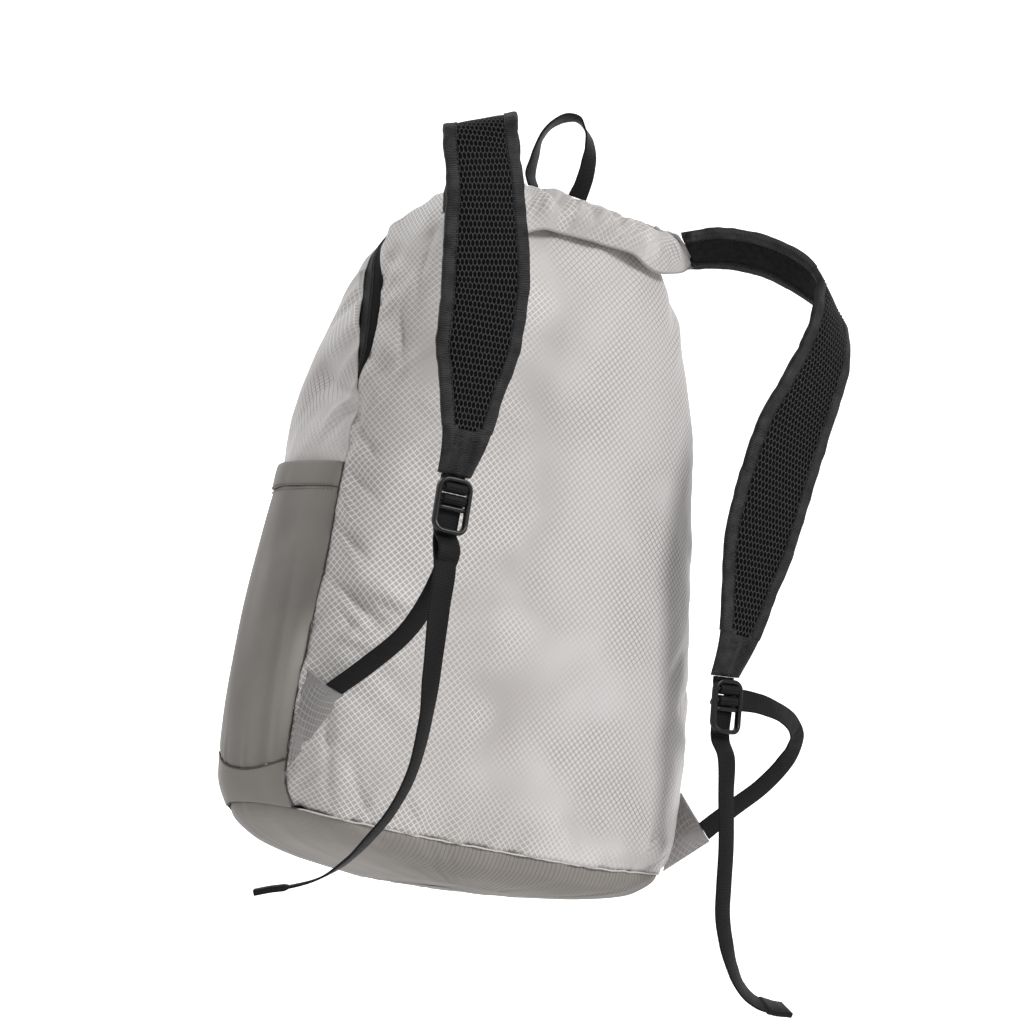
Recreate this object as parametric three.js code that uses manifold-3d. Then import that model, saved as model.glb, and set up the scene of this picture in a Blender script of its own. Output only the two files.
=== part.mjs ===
// A packable backpack in thin ripstop, hanging from its top loop with the zip closed.
// Millimetres, +Z up. The shoulder straps and the back panel face -Y, the front panel faces +Y.
// Pieces are first laid out with z = 0 at the lowest point of the base, then the whole bag is
// moved so that the inner crest of the hang loop, where it hangs, is the origin.

import * as THREE from 'three';
import { mergeVertices } from 'three/addons/utils/BufferGeometryUtils.js';
import Module from 'manifold-3d';

const wasm = await Module();
wasm.setup();

// The bag as a whole
const BAG_HEIGHT = 436;
const BAG_WIDTH = 308;
const BAG_DEPTH = 170;
const SECTION_POWER = 3.2;

// Cloth walls and the gap that touching pieces keep
const SHELL_WALL = 1.5;
const POCKET_WALL = 1.2;
const YOKE_WALL = 1.2;
const GAP = 0.3;

// Seams, as heights above the lowest point
const BASE_SEAM_BACK = 22.5;
const BASE_SEAM_SIDE = 31;
const POCKET_SEAM = 49;
const POCKET_SMILE = 11;
const POCKET_TOP = 241;
const ZIP_END = 291;

// Side pockets
const POCKET_HEM = 16;
const HEM_WALL = 2.6;
const POCKET_BULGE = 7;
const POCKET_REACH = 0.55;

// Zip
const ZIP_SLOT = 16;
const ZIP_TAPE_WALL = 1.2;
const ZIP_SINK = 0.4;
const ZIP_COIL_WIDTH = 4;
const ZIP_COIL_RISE = 0.9;
const SLIDER_LENGTH = 12;
const SLIDER_WIDTH = 8;
const SLIDER_RISE = 3;
const PULL_LENGTH = 24;
const PULL_WIDTH = 5;

// Shoulder straps
const STRAP_ROOT_WIDTH = 43;
const STRAP_FULL_WIDTH = 54;
const STRAP_TIP_WIDTH = 22;
const STRAP_PAD_THICKNESS = 4;
const BINDING_WIDTH = 8.5;
const BINDING_THICKNESS = 5;
const TIP_PATCH_LENGTH = 26;
const PAD_GAP = 0.5;
const ROOT_PAD_GAP = 1.6;
const SEAM_ROOM = 1.3;
const TIP_RISE = 1.5;
const STRAP_STEP = 14;

// Webbing and ladder locks
const WEBBING_WIDTH = 15;
const WEBBING_THICKNESS = 1.4;
const HEM_TIP_LENGTH = 20;
const HEM_TIP_THICKNESS = 3.4;
const LOCK_WIDTH = 23;
const LOCK_LENGTH = 34;
const LOCK_THICKNESS = 4.4;
const LOCK_RIM = 2.8;
const LOCK_CORNER = 5;
const LOCK_LIP = 2.5;
const BAR_DIAMETER = 3;
const BAR_CLEARANCE = 0.35;
const SLOT_PLAY = 0.5;

// Hang loop, corner tabs and gathers
const LOOP_THICKNESS = 1.4;
const TAB_THICKNESS = 2;
const GATHER_DEPTH = 1.8;
const GATHER_COUNT = 9;

// Level sections. Columns: height, half width, depth behind and depth in front of the middle,
// as shares of the height, of half the width and of half the depth.
const BODY = [
  [0.000, 0.300, 0.620, 0.620],
  [0.012, 0.620, 0.800, 0.800],
  [0.030, 0.840, 0.920, 0.870],
  [0.060, 0.950, 0.970, 0.920],
  [0.110, 0.995, 1.000, 0.950],
  [0.200, 1.000, 1.000, 0.975],
  [0.310, 0.980, 0.990, 0.990],
  [0.460, 0.925, 0.970, 0.990],
  [0.600, 0.865, 0.950, 0.950],
  [0.700, 0.810, 0.925, 0.850],
  [0.790, 0.735, 0.875, 0.770],
  [0.860, 0.662, 0.815, 0.700],
  [0.915, 0.575, 0.755, 0.610],
  [0.955, 0.485, 0.690, 0.470],
  [0.980, 0.385, 0.590, 0.290],
  [0.995, 0.260, 0.430, 0.090],
  [1.000, 0.170, 0.240, -0.100],
];

// The line from the base corner up the side seam and on along the zip.
// Columns: height share, place between back (-1) and front (+1), zip slot as a share of its size.
const SEAM = [
  [0.05, -0.52, 0],
  [0.12, -0.51, 0],
  [0.30, -0.53, 0],
  [0.41, -0.52, 0],
  [0.48, -0.47, 0],
  [0.55, -0.41, 0],
  [0.60, -0.36, 0],
  [0.640, -0.35, 0],
  [0.667, -0.30, 0.03],
  [0.717, -0.24, 0.75],
  [0.782, -0.06, 1.25],
  [0.83, 0.13, 1.25],
  [0.865, 0.33, 1.00],
  [0.915, 0.60, 0.75],
  [0.955, 0.60, 0.60],
  [0.98, 0.48, 0.56],
  [0.995, 0.22, 0.54],
  [1.00, 0.00, 0.54],
];

// Dents and folds of the cloth. Columns: side, start height and place, end height and place,
// half width, depth (negative pushes out). Heights and half widths are shares of the height,
// depths of half the depth. Place runs from 0 at the back middle to 1 at the front middle.
const FOLDS = [
  [-1, 0.69, 0.53, 0.62, 0.43, 0.016, 0.050],
  [-1, 0.585, 0.44, 0.57, 0.42, 0.014, 0.030],
  [-1, 0.385, 0.355, 0.330, 0.225, 0.016, 0.045],
  [-1, 0.400, 0.300, 0.360, 0.180, 0.014, -0.030],
  [-1, 0.240, 0.320, 0.085, 0.290, 0.012, 0.035],
  [1, 0.080, 0.330, 0.050, 0.150, 0.012, 0.035],
  [1, 0.110, 0.300, 0.075, 0.100, 0.014, -0.025],
  [-1, 0.90, 0.42, 0.80, 0.36, 0.016, 0.030],
  [1, 0.69, 0.53, 0.62, 0.43, 0.016, 0.050],
  [1, 0.400, 0.300, 0.340, 0.200, 0.016, 0.035],
  [-1, 0.560, 0.880, 0.450, 0.700, 0.022, 0.035],
  [1, 0.520, 0.860, 0.420, 0.720, 0.022, 0.035],
  [1, 0.200, 0.900, 0.120, 0.680, 0.018, 0.030],
  [-1, 0.180, 0.900, 0.110, 0.660, 0.018, 0.030],
];

// The gathered yoke, right half, in four lines from its lower edge to the ridge.
// Columns: station, then x, y, z as shares of half the width, half the depth and the height.
const YOKE_LOWER = [
  [0.0, 0.000, -0.790, 0.931],
  [0.3, 0.208, -0.785, 0.929],
  [0.6, 0.370, -0.765, 0.912],
  [0.8, 0.545, -0.640, 0.927],
  [1.0, 0.708, -0.435, 0.951],
];
const YOKE_LOW_FOLD = [
  [0.0, 0.000, -0.800, 0.970],
  [0.3, 0.195, -0.785, 0.966],
  [0.6, 0.364, -0.740, 0.948],
  [0.8, 0.512, -0.680, 0.946],
  [1.0, 0.630, -0.541, 0.960],
];
const YOKE_HIGH_FOLD = [
  [0.0, 0.000, -0.660, 0.987],
  [0.3, 0.182, -0.665, 0.983],
  [0.6, 0.340, -0.690, 0.975],
  [0.8, 0.455, -0.715, 0.968],
  [1.0, 0.552, -0.641, 0.969],
];
// End of the left wing, which hangs lower: x, y, z on each of the four lines.
const LEFT_WING_END = [
  [0.631, -0.496, 0.925],
  [0.565, -0.597, 0.943],
  [0.498, -0.698, 0.960],
  [0.432, -0.799, 0.978],
];
const YOKE_RIDGE = [
  [0.0, 0.000, -0.340, 1.001],
  [0.3, 0.162, -0.365, 0.998],
  [0.6, 0.312, -0.470, 0.988],
  [0.8, 0.403, -0.635, 0.983],
  [1.0, 0.474, -0.741, 0.978],
];

// Strap routes, from past the wing's edge, where the strap is sewn on, to just above the lock.
// Columns: x, y, z as shares of half the width, half the depth and the height, then heading and
// rise of the width, in degrees.
const STRAP_LEFT = [
  [-0.597, -0.872, 0.993, -34, 24],
  [-0.711, -1.120, 1.012, -28, 22],
  [-0.810, -1.353, 1.025, -22, 22],
  [-0.893, -1.553, 1.008, -18, 20],
  [-0.912, -1.647, 0.976, -17, 17],
  [-0.895, -1.706, 0.931, -17, 13],
  [-0.863, -1.718, 0.865, -18, 11],
  [-0.822, -1.706, 0.787, -19, 10],
  [-0.810, -1.682, 0.705, -20, 9],
  [-0.802, -1.665, 0.640, -17, 8],
  [-0.797, -1.652, 0.585, -13, 4],
];
const STRAP_RIGHT = [
  [0.709, -0.706, 0.976, 43, -22],
  [0.850, -0.859, 0.976, 49, -23],
  [0.965, -1.012, 0.962, 50, -24],
  [1.042, -1.118, 0.943, 43, -24],
  [1.071, -1.247, 0.925, 29, -24],
  [1.061, -1.341, 0.898, 19, -21],
  [1.037, -1.412, 0.862, 14, -14],
  [1.000, -1.459, 0.819, 8, -7],
  [0.936, -1.492, 0.768, 2, -2],
  [0.862, -1.495, 0.694, -5, -1],
  [0.808, -1.465, 0.583, -7, 2],
  [0.798, -1.410, 0.487, -8, 1],
  [0.792, -1.370, 0.405, -3, 3],
];

// Lock centres, with the heading and rise of the lock's width.
const LOCK_LEFT = [-0.808, -1.640, 0.490, -9, -1];
const LOCK_RIGHT = [0.788, -1.341, 0.306, 2, 4];

// Webbing from the corner tab up to the back of the lock, in the strap tables' columns.
const STANDING_LEFT = [
  [-0.906, -0.788, 0.232, 22, -20],
  [-0.856, -1.024, 0.269, 26, -25],
  [-0.808, -1.310, 0.318, 18, -14],
  [-0.808, -1.560, 0.375, 8, 2],
  [-0.812, -1.695, 0.428, -2, 0],
];
const STANDING_RIGHT = [
  [1.031, -0.729, 0.135, 12, -30],
  [1.122, -0.824, 0.174, 18, -24],
  [1.211, -0.929, 0.211, 14, -17],
  [1.267, -1.035, 0.250, 8, -4],
  [1.262, -1.140, 0.280, 16, 10],
  [1.205, -1.220, 0.301, 30, 24],
  [1.110, -1.270, 0.314, 38, 38],
  [1.010, -1.262, 0.321, 42, 54],
  [0.915, -1.230, 0.322, 42, 62],
];

// Free ends below the locks, and the flat tip.
const TAIL_LEFT = [
  [-0.826, -1.705, 0.400, -4, 4],
  [-0.824, -1.700, 0.345, 0, 10],
  [-0.814, -1.694, 0.262, 12, 11],
  [-0.806, -1.677, 0.195, 27, 2],
  [-0.817, -1.629, 0.123, 34, 1],
  [-0.851, -1.543, 0.070, 38, -1],
  [-0.894, -1.458, 0.034, 40, -3],
  [-0.949, -1.357, -0.002, 46, 0],
  [-1.019, -1.245, -0.030, 52, 5],
  [-1.097, -1.129, -0.046, 54, 7],
  [-1.161, -1.039, -0.054, 54, 7],
  [-1.207, -0.973, -0.061, 54, 7],
];
const TAIL_RIGHT = [
  [0.806, -1.375, 0.235, 8, 8],
  [0.836, -1.368, 0.180, 14, 10],
  [0.872, -1.365, 0.110, 15, 10],
  [0.887, -1.365, 0.055, 15, 10],
  [0.901, -1.365, 0.013, 16, 10],
  [0.937, -1.365, -0.024, 19, 11],
  [0.992, -1.365, -0.061, 30, 17],
  [1.050, -1.365, -0.085, 41, 24],
  [1.128, -1.365, -0.100, 46, 23],
  [1.218, -1.365, -0.105, 49, 23],
  [1.296, -1.365, -0.105, 51, 22],
];

// Hang loop from its left foot over the crest to its right foot.
const LOOP = [
  [-0.130, -0.353, 1.006, 30, 6],
  [-0.143, -0.330, 1.022, 31, 4],
  [-0.146, -0.360, 1.047, 38, 3],
  [-0.139, -0.392, 1.077, 49, 0],
  [-0.106, -0.423, 1.098, 52, -3],
  [-0.052, -0.446, 1.111, 48, -5],
  [-0.002, -0.468, 1.112, 46, -6],
  [0.037, -0.481, 1.101, 42, -6],
  [0.070, -0.481, 1.081, 31, -5],
  [0.088, -0.455, 1.056, 20, -4],
  [0.096, -0.408, 1.028, 13, 0],
  [0.092, -0.365, 1.006, 6, 0],
];

// Corner tabs: heights of the two root corners as shares of the height.
const TAB_ROOT_LEFT = [0.257, 0.118];
const TAB_ROOT_RIGHT = [0.186, 0.073];

const scene = new THREE.Group();

function material(color, roughness) {
  return new THREE.MeshStandardMaterial({ color, roughness, metalness: 0, side: THREE.DoubleSide });
}

const RIPSTOP = material(0xb9b4ae, 0.55);
const POCKET_CLOTH = material(0x8d8882, 0.6);
const BASE_CLOTH = material(0x97928c, 0.6);
const BLACK_TAPE = material(0x17171a, 0.75);
const STRAP_MESH = material(0x1b1b1d, 0.85);
const BINDING_CLOTH = material(0x2c2c2e, 0.7);
const BLACK_PLASTIC = material(0x151517, 0.4);

// Smooth curve through the rows of a table whose first column rises, one value per other column.
function track(table, at) {
  const last = table.length - 1;
  const x = Math.min(Math.max(at, table[0][0]), table[last][0]);
  let i = 0;
  while (i < last - 1 && table[i + 1][0] < x) i += 1;
  const span = table[i + 1][0] - table[i][0];
  const t = (x - table[i][0]) / span;
  const slope = (k, column) => {
    if (k === 0 || k === last) return 0;
    const before = (table[k][column] - table[k - 1][column]) / (table[k][0] - table[k - 1][0]);
    const after = (table[k + 1][column] - table[k][column]) / (table[k + 1][0] - table[k][0]);
    if (before * after <= 0) return 0;
    return (2 * before * after) / (before + after);
  };
  const endSlope = (k, column) => {
    if (k > 0 && k < last) return slope(k, column);
    const a = k === 0 ? 0 : last - 1;
    return (table[a + 1][column] - table[a][column]) / (table[a + 1][0] - table[a][0]);
  };
  return table[i].slice(1).map((value, n) => {
    const column = n + 1;
    const next = table[i + 1][column];
    const h00 = 2 * t ** 3 - 3 * t ** 2 + 1;
    const h10 = t ** 3 - 2 * t ** 2 + t;
    const h01 = 1 - h00;
    const h11 = t ** 3 - t ** 2;
    return h00 * value + h10 * span * endSlope(i, column)
      + h01 * next + h11 * span * endSlope(i + 1, column);
  });
}

const ease = (t) => t * t * (3 - 2 * t);
const signedPower = (value, power) => Math.sign(value) * Math.abs(value) ** power;

// Section of the bag at a height: half width, middle depth and half depth.
function section(height) {
  const [wide, back, front] = track(BODY, height / BAG_HEIGHT);
  return {
    half: (wide * BAG_WIDTH) / 2,
    middle: ((front - back) * BAG_DEPTH) / 4,
    deep: ((front + back) * BAG_DEPTH) / 4,
  };
}

// Angle round the section (0 at the back middle, 180 degrees at the front middle) for a place
// between the back (-1) and the front (+1).
function angleOf(place) {
  const p = Math.min(Math.max(place, -1), 1);
  return Math.acos(-signedPower(p, SECTION_POWER / 2));
}

function bagPoint(height, angle) {
  const { half, middle, deep } = section(height);
  const x = half * signedPower(Math.sin(angle), 2 / SECTION_POWER);
  const y = middle - deep * signedPower(Math.cos(angle), 2 / SECTION_POWER);
  return new THREE.Vector3(x, y, height);
}

function bagNormal(height, angle) {
  const low = Math.max(height - 0.8, 0.02);
  const high = Math.min(height + 0.8, BAG_HEIGHT - 0.02);
  const up = bagPoint(high, angle).sub(bagPoint(low, angle));
  const along = bagPoint(height, angle + 0.02).sub(bagPoint(height, angle - 0.02));
  return along.cross(up).normalize();
}

// How far the cloth is pushed in at a place by its dents and folds.
function foldDepth(height, angle) {
  const h = height / BAG_HEIGHT;
  const place = Math.abs(angle) / Math.PI;
  let sum = 0;
  for (const [side, h0, p0, h1, p1, half, depth] of FOLDS) {
    if (side * angle <= 0) continue;
    const along = [h1 - h0, p1 - p0];
    const to = [h - h0, place - p0];
    const length2 = along[0] ** 2 + along[1] ** 2;
    const t = Math.min(Math.max((to[0] * along[0] + to[1] * along[1]) / length2, 0), 1);
    const away = Math.hypot(to[0] - t * along[0], to[1] - t * along[1]);
    sum += depth * Math.exp(-((away / half) ** 2)) * (0.5 + 0.5 * Math.sin(Math.PI * t));
  }
  return (sum * BAG_DEPTH) / 2;
}

// A point of the cloth, pushed out along the surface by a distance.
function clothPoint(height, angle, out) {
  const lift = out - foldDepth(height, angle);
  return bagPoint(height, angle).addScaledVector(bagNormal(height, angle), lift);
}

// Closed solid between an outer and an inner skin over a grid of columns and rows. A wrapped
// grid closes round on itself, a pole ends the last row in one point, and cells that aren't kept
// stay open.
function skinSolid(columns, rows, outer, inner, options = {}) {
  const { wrapped = false, pole = false, keep = () => true } = options;
  const across = wrapped ? columns : columns + 1;
  const positions = [];
  const indices = [];
  const skins = [outer, inner].map((skin) => {
    const ids = [];
    for (let j = 0; j <= rows; j += 1) {
      ids.push([]);
      for (let i = 0; i < across; i += 1) {
        if (pole && j === rows && i > 0) {
          ids[j].push(ids[j][0]);
          continue;
        }
        const p = skin(i, j);
        ids[j].push(positions.length / 3);
        positions.push(p.x, p.y, p.z);
      }
    }
    return ids;
  });
  const triangle = (a, b, c) => {
    if (a !== b && b !== c && a !== c) indices.push(a, b, c);
  };
  const quad = (a, b, c, d) => {
    triangle(a, b, c);
    triangle(a, c, d);
  };
  const [top, under] = skins;
  const has = (i, j) => {
    if (j >= rows) return pole;
    if (j < 0 || (!wrapped && (i < 0 || i >= columns))) return false;
    return keep((i + columns) % columns, j);
  };
  for (let j = 0; j < rows; j += 1) {
    for (let i = 0; i < columns; i += 1) {
      if (!keep(i, j)) continue;
      const k = (i + 1) % across;
      quad(top[j][i], top[j][k], top[j + 1][k], top[j + 1][i]);
      quad(under[j][i], under[j + 1][i], under[j + 1][k], under[j][k]);
      if (!has(i, j - 1)) quad(top[j][i], under[j][i], under[j][k], top[j][k]);
      if (!has(i, j + 1)) quad(top[j + 1][k], under[j + 1][k], under[j + 1][i], top[j + 1][i]);
      if (!has(i - 1, j)) quad(top[j][i], top[j + 1][i], under[j + 1][i], under[j][i]);
      if (!has(i + 1, j)) quad(top[j + 1][k], top[j][k], under[j][k], under[j + 1][k]);
    }
  }
  return facingOut(positions, indices);
}

// Geometry whose faces point out, whichever way round its grid was written.
function facingOut(positions, indices) {
  const corner = (k) => new THREE.Vector3().fromArray(positions, indices[k] * 3);
  let volume = 0;
  for (let k = 0; k < indices.length; k += 3) {
    volume += corner(k).dot(corner(k + 1).cross(corner(k + 2)));
  }
  if (volume < 0) indices.reverse();
  const geometry = new THREE.BufferGeometry();
  geometry.setAttribute('position', new THREE.Float32BufferAttribute(positions, 3));
  geometry.setIndex(indices);
  return geometry;
}

// Closed solid swept through sections, each a ring of the same number of points.
function sweptSolid(rings) {
  const sides = rings[0].length;
  const positions = rings.flat().flatMap((p) => [p.x, p.y, p.z]);
  const indices = [];
  for (let j = 0; j < rings.length - 1; j += 1) {
    for (let i = 0; i < sides; i += 1) {
      const a = j * sides + i;
      const b = j * sides + ((i + 1) % sides);
      indices.push(a, b, b + sides, a, b + sides, a + sides);
    }
  }
  const end = (rings.length - 1) * sides;
  for (let i = 1; i < sides - 1; i += 1) {
    indices.push(0, i + 1, i);
    indices.push(end, end + i, end + i + 1);
  }
  return facingOut(positions, indices);
}

function toManifold(geometry) {
  const bare = geometry.clone();
  bare.deleteAttribute('normal');
  bare.deleteAttribute('uv');
  const merged = mergeVertices(bare, 1e-4);
  return new wasm.Manifold(new wasm.Mesh({
    numProp: 3,
    vertProperties: new Float32Array(merged.attributes.position.array),
    triVerts: new Uint32Array(merged.index.array),
  }));
}

function fromManifold(solid) {
  const mesh = solid.getMesh();
  const geometry = new THREE.BufferGeometry();
  geometry.setAttribute('position', new THREE.BufferAttribute(mesh.vertProperties, 3));
  geometry.setIndex(new THREE.BufferAttribute(mesh.triVerts, 1));
  return geometry;
}

function joined(geometries) {
  return fromManifold(geometries.map(toManifold).reduce((sum, solid) => sum.add(solid)));
}

function addPiece(name, geometry, look) {
  const mesh = new THREE.Mesh(geometry, look);
  mesh.name = name;
  mesh.position.copy(hangPoint).negate();
  scene.add(mesh);
}

// Place and width direction of a row of a route table.
function station([x, y, z, heading, rise]) {
  const h = THREE.MathUtils.degToRad(heading);
  const r = THREE.MathUtils.degToRad(rise);
  return {
    point: new THREE.Vector3((x * BAG_WIDTH) / 2, (y * BAG_DEPTH) / 2, z * BAG_HEIGHT),
    wide: new THREE.Vector3(
      Math.cos(r) * Math.cos(h), Math.cos(r) * Math.sin(h), Math.sin(r)),
  };
}

// Frames along a smooth route, a step apart at most and at least two between its stations. Each
// has its point, its forward, wide and face directions and how far along it lies.
function routeFrames(stations, step) {
  const curve = new THREE.CatmullRomCurve3(stations.map((s) => s.point), false, 'centripetal');
  const frames = [];
  const last = stations.length - 1;
  const addFrame = (row) => {
    const t = row / last;
    const point = curve.getPoint(t);
    const forward = curve.getTangent(t);
    const low = Math.min(Math.floor(row), last - 1);
    const wide = stations[low].wide.clone().lerp(stations[low + 1].wide, ease(row - low));
    wide.addScaledVector(forward, -wide.dot(forward)).normalize();
    const face = forward.clone().cross(wide).normalize();
    const before = frames[frames.length - 1];
    const at = before ? before.at + before.point.distanceTo(point) : 0;
    frames.push({ point, forward, wide, face, at });
  };
  addFrame(0);
  for (let k = 0; k < last; k += 1) {
    const length = stations[k].point.distanceTo(stations[k + 1].point);
    const cells = Math.max(Math.ceil(length / step), 2);
    for (let c = 1; c <= cells; c += 1) addFrame(k + c / cells);
  }
  return { frames, total: frames[frames.length - 1].at };
}

// Flat ring of a ribbon at one frame, between two reaches across and two levels of face.
function ribbonRing(frame, across0, across1, low, high) {
  const at = (w, f) => frame.point.clone()
    .addScaledVector(frame.wide, w)
    .addScaledVector(frame.face, f);
  return [at(across0, low), at(across1, low), at(across1, high), at(across0, high)];
}

// Where the bag hangs: the underside of the loop at its crest.
const loopRoute = routeFrames(LOOP.map(station), 5);
const crestFrame = loopRoute.frames.reduce((a, b) => (b.point.z > a.point.z ? b : a));
const hangPoint = crestFrame.point.clone();
hangPoint.z -= LOOP_THICKNESS / 2;

// Shell panels

const SIDE_COLUMNS = 7;
const FRONT_COLUMNS = 12;
const BACK_COLUMNS = 18;
const LOWER_ROWS = 2;
const POCKET_ROWS = 6;
const UPPER_ROWS = 3;
const TOP_ROWS = 9;
const HEM_ROW = LOWER_ROWS + POCKET_ROWS;
const POCKET_TOP_ROW = HEM_ROW + 1;
const ZIP_ROW = POCKET_TOP_ROW + UPPER_ROWS;
const SHELL_ROWS = ZIP_ROW + TOP_ROWS;

const mix = (a, b, t) => a + (b - a) * t;

function baseSeam(place) {
  return mix(BASE_SEAM_SIDE, BASE_SEAM_BACK, place * place);
}

function pocketSeam(place) {
  const p = Math.min(Math.max(place, -POCKET_REACH), POCKET_REACH);
  return POCKET_SEAM + POCKET_SMILE * (p / POCKET_REACH) ** 2;
}

// Height of a row of the shell's grid, at a place between back and front.
function rowHeight(row, place) {
  const low = pocketSeam(place);
  const hemLow = POCKET_TOP - POCKET_HEM;
  if (row <= LOWER_ROWS) return mix(baseSeam(place), low, row / LOWER_ROWS);
  if (row <= HEM_ROW) return mix(low, hemLow, (row - LOWER_ROWS) / POCKET_ROWS);
  if (row <= POCKET_TOP_ROW) return POCKET_TOP;
  if (row <= ZIP_ROW) return mix(POCKET_TOP, ZIP_END, (row - POCKET_TOP_ROW) / UPPER_ROWS);
  const t = (row - ZIP_ROW) / TOP_ROWS;
  return mix(ZIP_END, BAG_HEIGHT, 1 - (1 - t) ** 2.2);
}

// Angles of the two cloth edges at the seam, one on the back side and one on the front side.
function seamAngles(row) {
  const guess = rowHeight(row, -0.5) / BAG_HEIGHT;
  const [place, slot] = track(SEAM, guess);
  const height = rowHeight(row, place);
  const half = Math.max((slot * ZIP_SLOT) / 2, GAP / 2);
  const share = half / section(height).deep;
  return { back: angleOf(place - share), front: angleOf(place + share), place };
}

// Angles that cut an arc of the section into equal lengths.
function evenAngles(height, from, to, cells) {
  const fine = 120;
  const lengths = [0];
  for (let k = 1; k <= fine; k += 1) {
    const a = bagPoint(height, mix(from, to, (k - 1) / fine));
    const b = bagPoint(height, mix(from, to, k / fine));
    lengths.push(lengths[k - 1] + a.distanceTo(b));
  }
  const angles = [];
  let k = 1;
  for (let c = 0; c <= cells; c += 1) {
    const want = (lengths[fine] * c) / cells;
    while (k < fine && lengths[k] < want) k += 1;
    const t = (want - lengths[k - 1]) / (lengths[k] - lengths[k - 1]);
    angles.push(mix(from, to, (k - 1 + t) / fine));
  }
  return angles;
}

// The pocket's front edge keeps one share of the way from the seam to the front middle.
const POCKET_SHARE = (angleOf(POCKET_REACH) - angleOf(-0.52)) / (Math.PI - angleOf(-0.52));

const backAngles = [];
const sideAngles = [];
const frontAngles = [];
for (let row = 0; row <= SHELL_ROWS; row += 1) {
  const { back, front } = seamAngles(row);
  const height = rowHeight(row, -1);
  const sideHeight = rowHeight(row, -0.3);
  const pocketEdge = mix(front, Math.PI, POCKET_SHARE);
  backAngles.push(evenAngles(height, -back, back, BACK_COLUMNS));
  sideAngles.push(evenAngles(sideHeight, front, pocketEdge, SIDE_COLUMNS));
  frontAngles.push(evenAngles(height, pocketEdge, 2 * Math.PI - pocketEdge, FRONT_COLUMNS));
}

// Angle of a front panel column, counted from the right seam round the front to the left seam.
function frontAngle(column, row) {
  if (column <= SIDE_COLUMNS) return sideAngles[row][column];
  const beyond = column - SIDE_COLUMNS - FRONT_COLUMNS;
  if (beyond < 0) return frontAngles[row][column - SIDE_COLUMNS];
  return 2 * Math.PI - sideAngles[row][SIDE_COLUMNS - beyond];
}

// The cloth at a grid place, with angles over 180 degrees turned back to the left side.
function gridPoint(angle, row, out) {
  const turned = angle > Math.PI ? angle - 2 * Math.PI : angle;
  const place = -signedPower(Math.cos(turned), 2 / SECTION_POWER);
  return clothPoint(rowHeight(row, place), turned, out);
}

const FRONT_TOTAL = 2 * SIDE_COLUMNS + FRONT_COLUMNS;

addPiece('back_panel', skinSolid(
  BACK_COLUMNS, SHELL_ROWS,
  (i, j) => gridPoint(backAngles[j][i], j, 0),
  (i, j) => gridPoint(backAngles[j][i], j, -SHELL_WALL),
), RIPSTOP);

addPiece('front_panel', skinSolid(
  FRONT_TOTAL, SHELL_ROWS,
  (i, j) => gridPoint(frontAngle(i, j), j, 0),
  (i, j) => gridPoint(frontAngle(i, j), j, -SHELL_WALL),
), RIPSTOP);

// Base cap: its rim follows the lower edges of both panels, a gap below them.
const BASE_ROWS = 5;
const BASE_COLUMNS = BACK_COLUMNS + FRONT_TOTAL;

function basePoint(column, row, out) {
  const angle = column <= BACK_COLUMNS
    ? backAngles[0][column]
    : frontAngle(column - BACK_COLUMNS, 0);
  const turned = angle > Math.PI ? angle - 2 * Math.PI : angle;
  const place = -signedPower(Math.cos(turned), 2 / SECTION_POWER);
  const rim = baseSeam(place) - GAP;
  const t = row / (BASE_ROWS - 1);
  if (row < BASE_ROWS) return clothPoint(rim * (1 - t) ** 1.7 + 0.03, turned, out);
  return new THREE.Vector3(0, 0, -out + 0.03);
}

addPiece('base_panel', skinSolid(
  BASE_COLUMNS, BASE_ROWS,
  (i, j) => basePoint(i, j, 0),
  (i, j) => (j < BASE_ROWS ? basePoint(i, j, -SHELL_WALL) : new THREE.Vector3(0, 0, SHELL_WALL)),
  { wrapped: true, pole: true },
), BASE_CLOTH);

// Side pockets, the band of cloth under each, and each pocket's hem, all on the front panel's
// side columns. Stand-off grows from the seams to the mouth.

function pocketStand(column, row) {
  const across = Math.sin((Math.PI * column) / SIDE_COLUMNS) ** 0.7;
  const up = Math.max(row - LOWER_ROWS, 0) / (POCKET_TOP_ROW - LOWER_ROWS);
  return GAP + POCKET_BULGE * across * (0.12 + 0.88 * ease(Math.min(up, 1)));
}

function sidePoint(side, column, row, out) {
  const low = Math.floor(row);
  const high = Math.min(low + 1, SHELL_ROWS);
  const angleLow = sideAngles[low][column];
  const angle = mix(angleLow, sideAngles[high][column], row - low);
  const place = -signedPower(Math.cos(angle), 2 / SECTION_POWER);
  const height = mix(rowHeight(low, place), rowHeight(high, place), row - low);
  return clothPoint(height, side * angle, out);
}

// Rows are cut back by the gap where two of these pieces meet.
const POCKET_CUT = GAP / POCKET_HEM;

for (const [side, name] of [[-1, 'left'], [1, 'right']]) {
  const band = (first, last, rows, wall) => skinSolid(
    SIDE_COLUMNS, rows,
    (i, j) => {
      const row = mix(first, last, j / rows);
      return sidePoint(side, i, row, pocketStand(i, row) + wall);
    },
    (i, j) => {
      const row = mix(first, last, j / rows);
      return sidePoint(side, i, row, pocketStand(i, row));
    });
  addPiece(`lower_side_${name}`, band(0, LOWER_ROWS - 0.02, 2, POCKET_WALL), BASE_CLOTH);
  addPiece(`side_pocket_${name}`, band(LOWER_ROWS, HEM_ROW, POCKET_ROWS, POCKET_WALL),
    POCKET_CLOTH);
  addPiece(`pocket_hem_${name}`, band(HEM_ROW + POCKET_CUT, POCKET_TOP_ROW, 2, HEM_WALL),
    POCKET_CLOTH);
}

// Zip tape with its coil, in the slot between the two panels, from the left end over the top to
// the right end.

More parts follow.
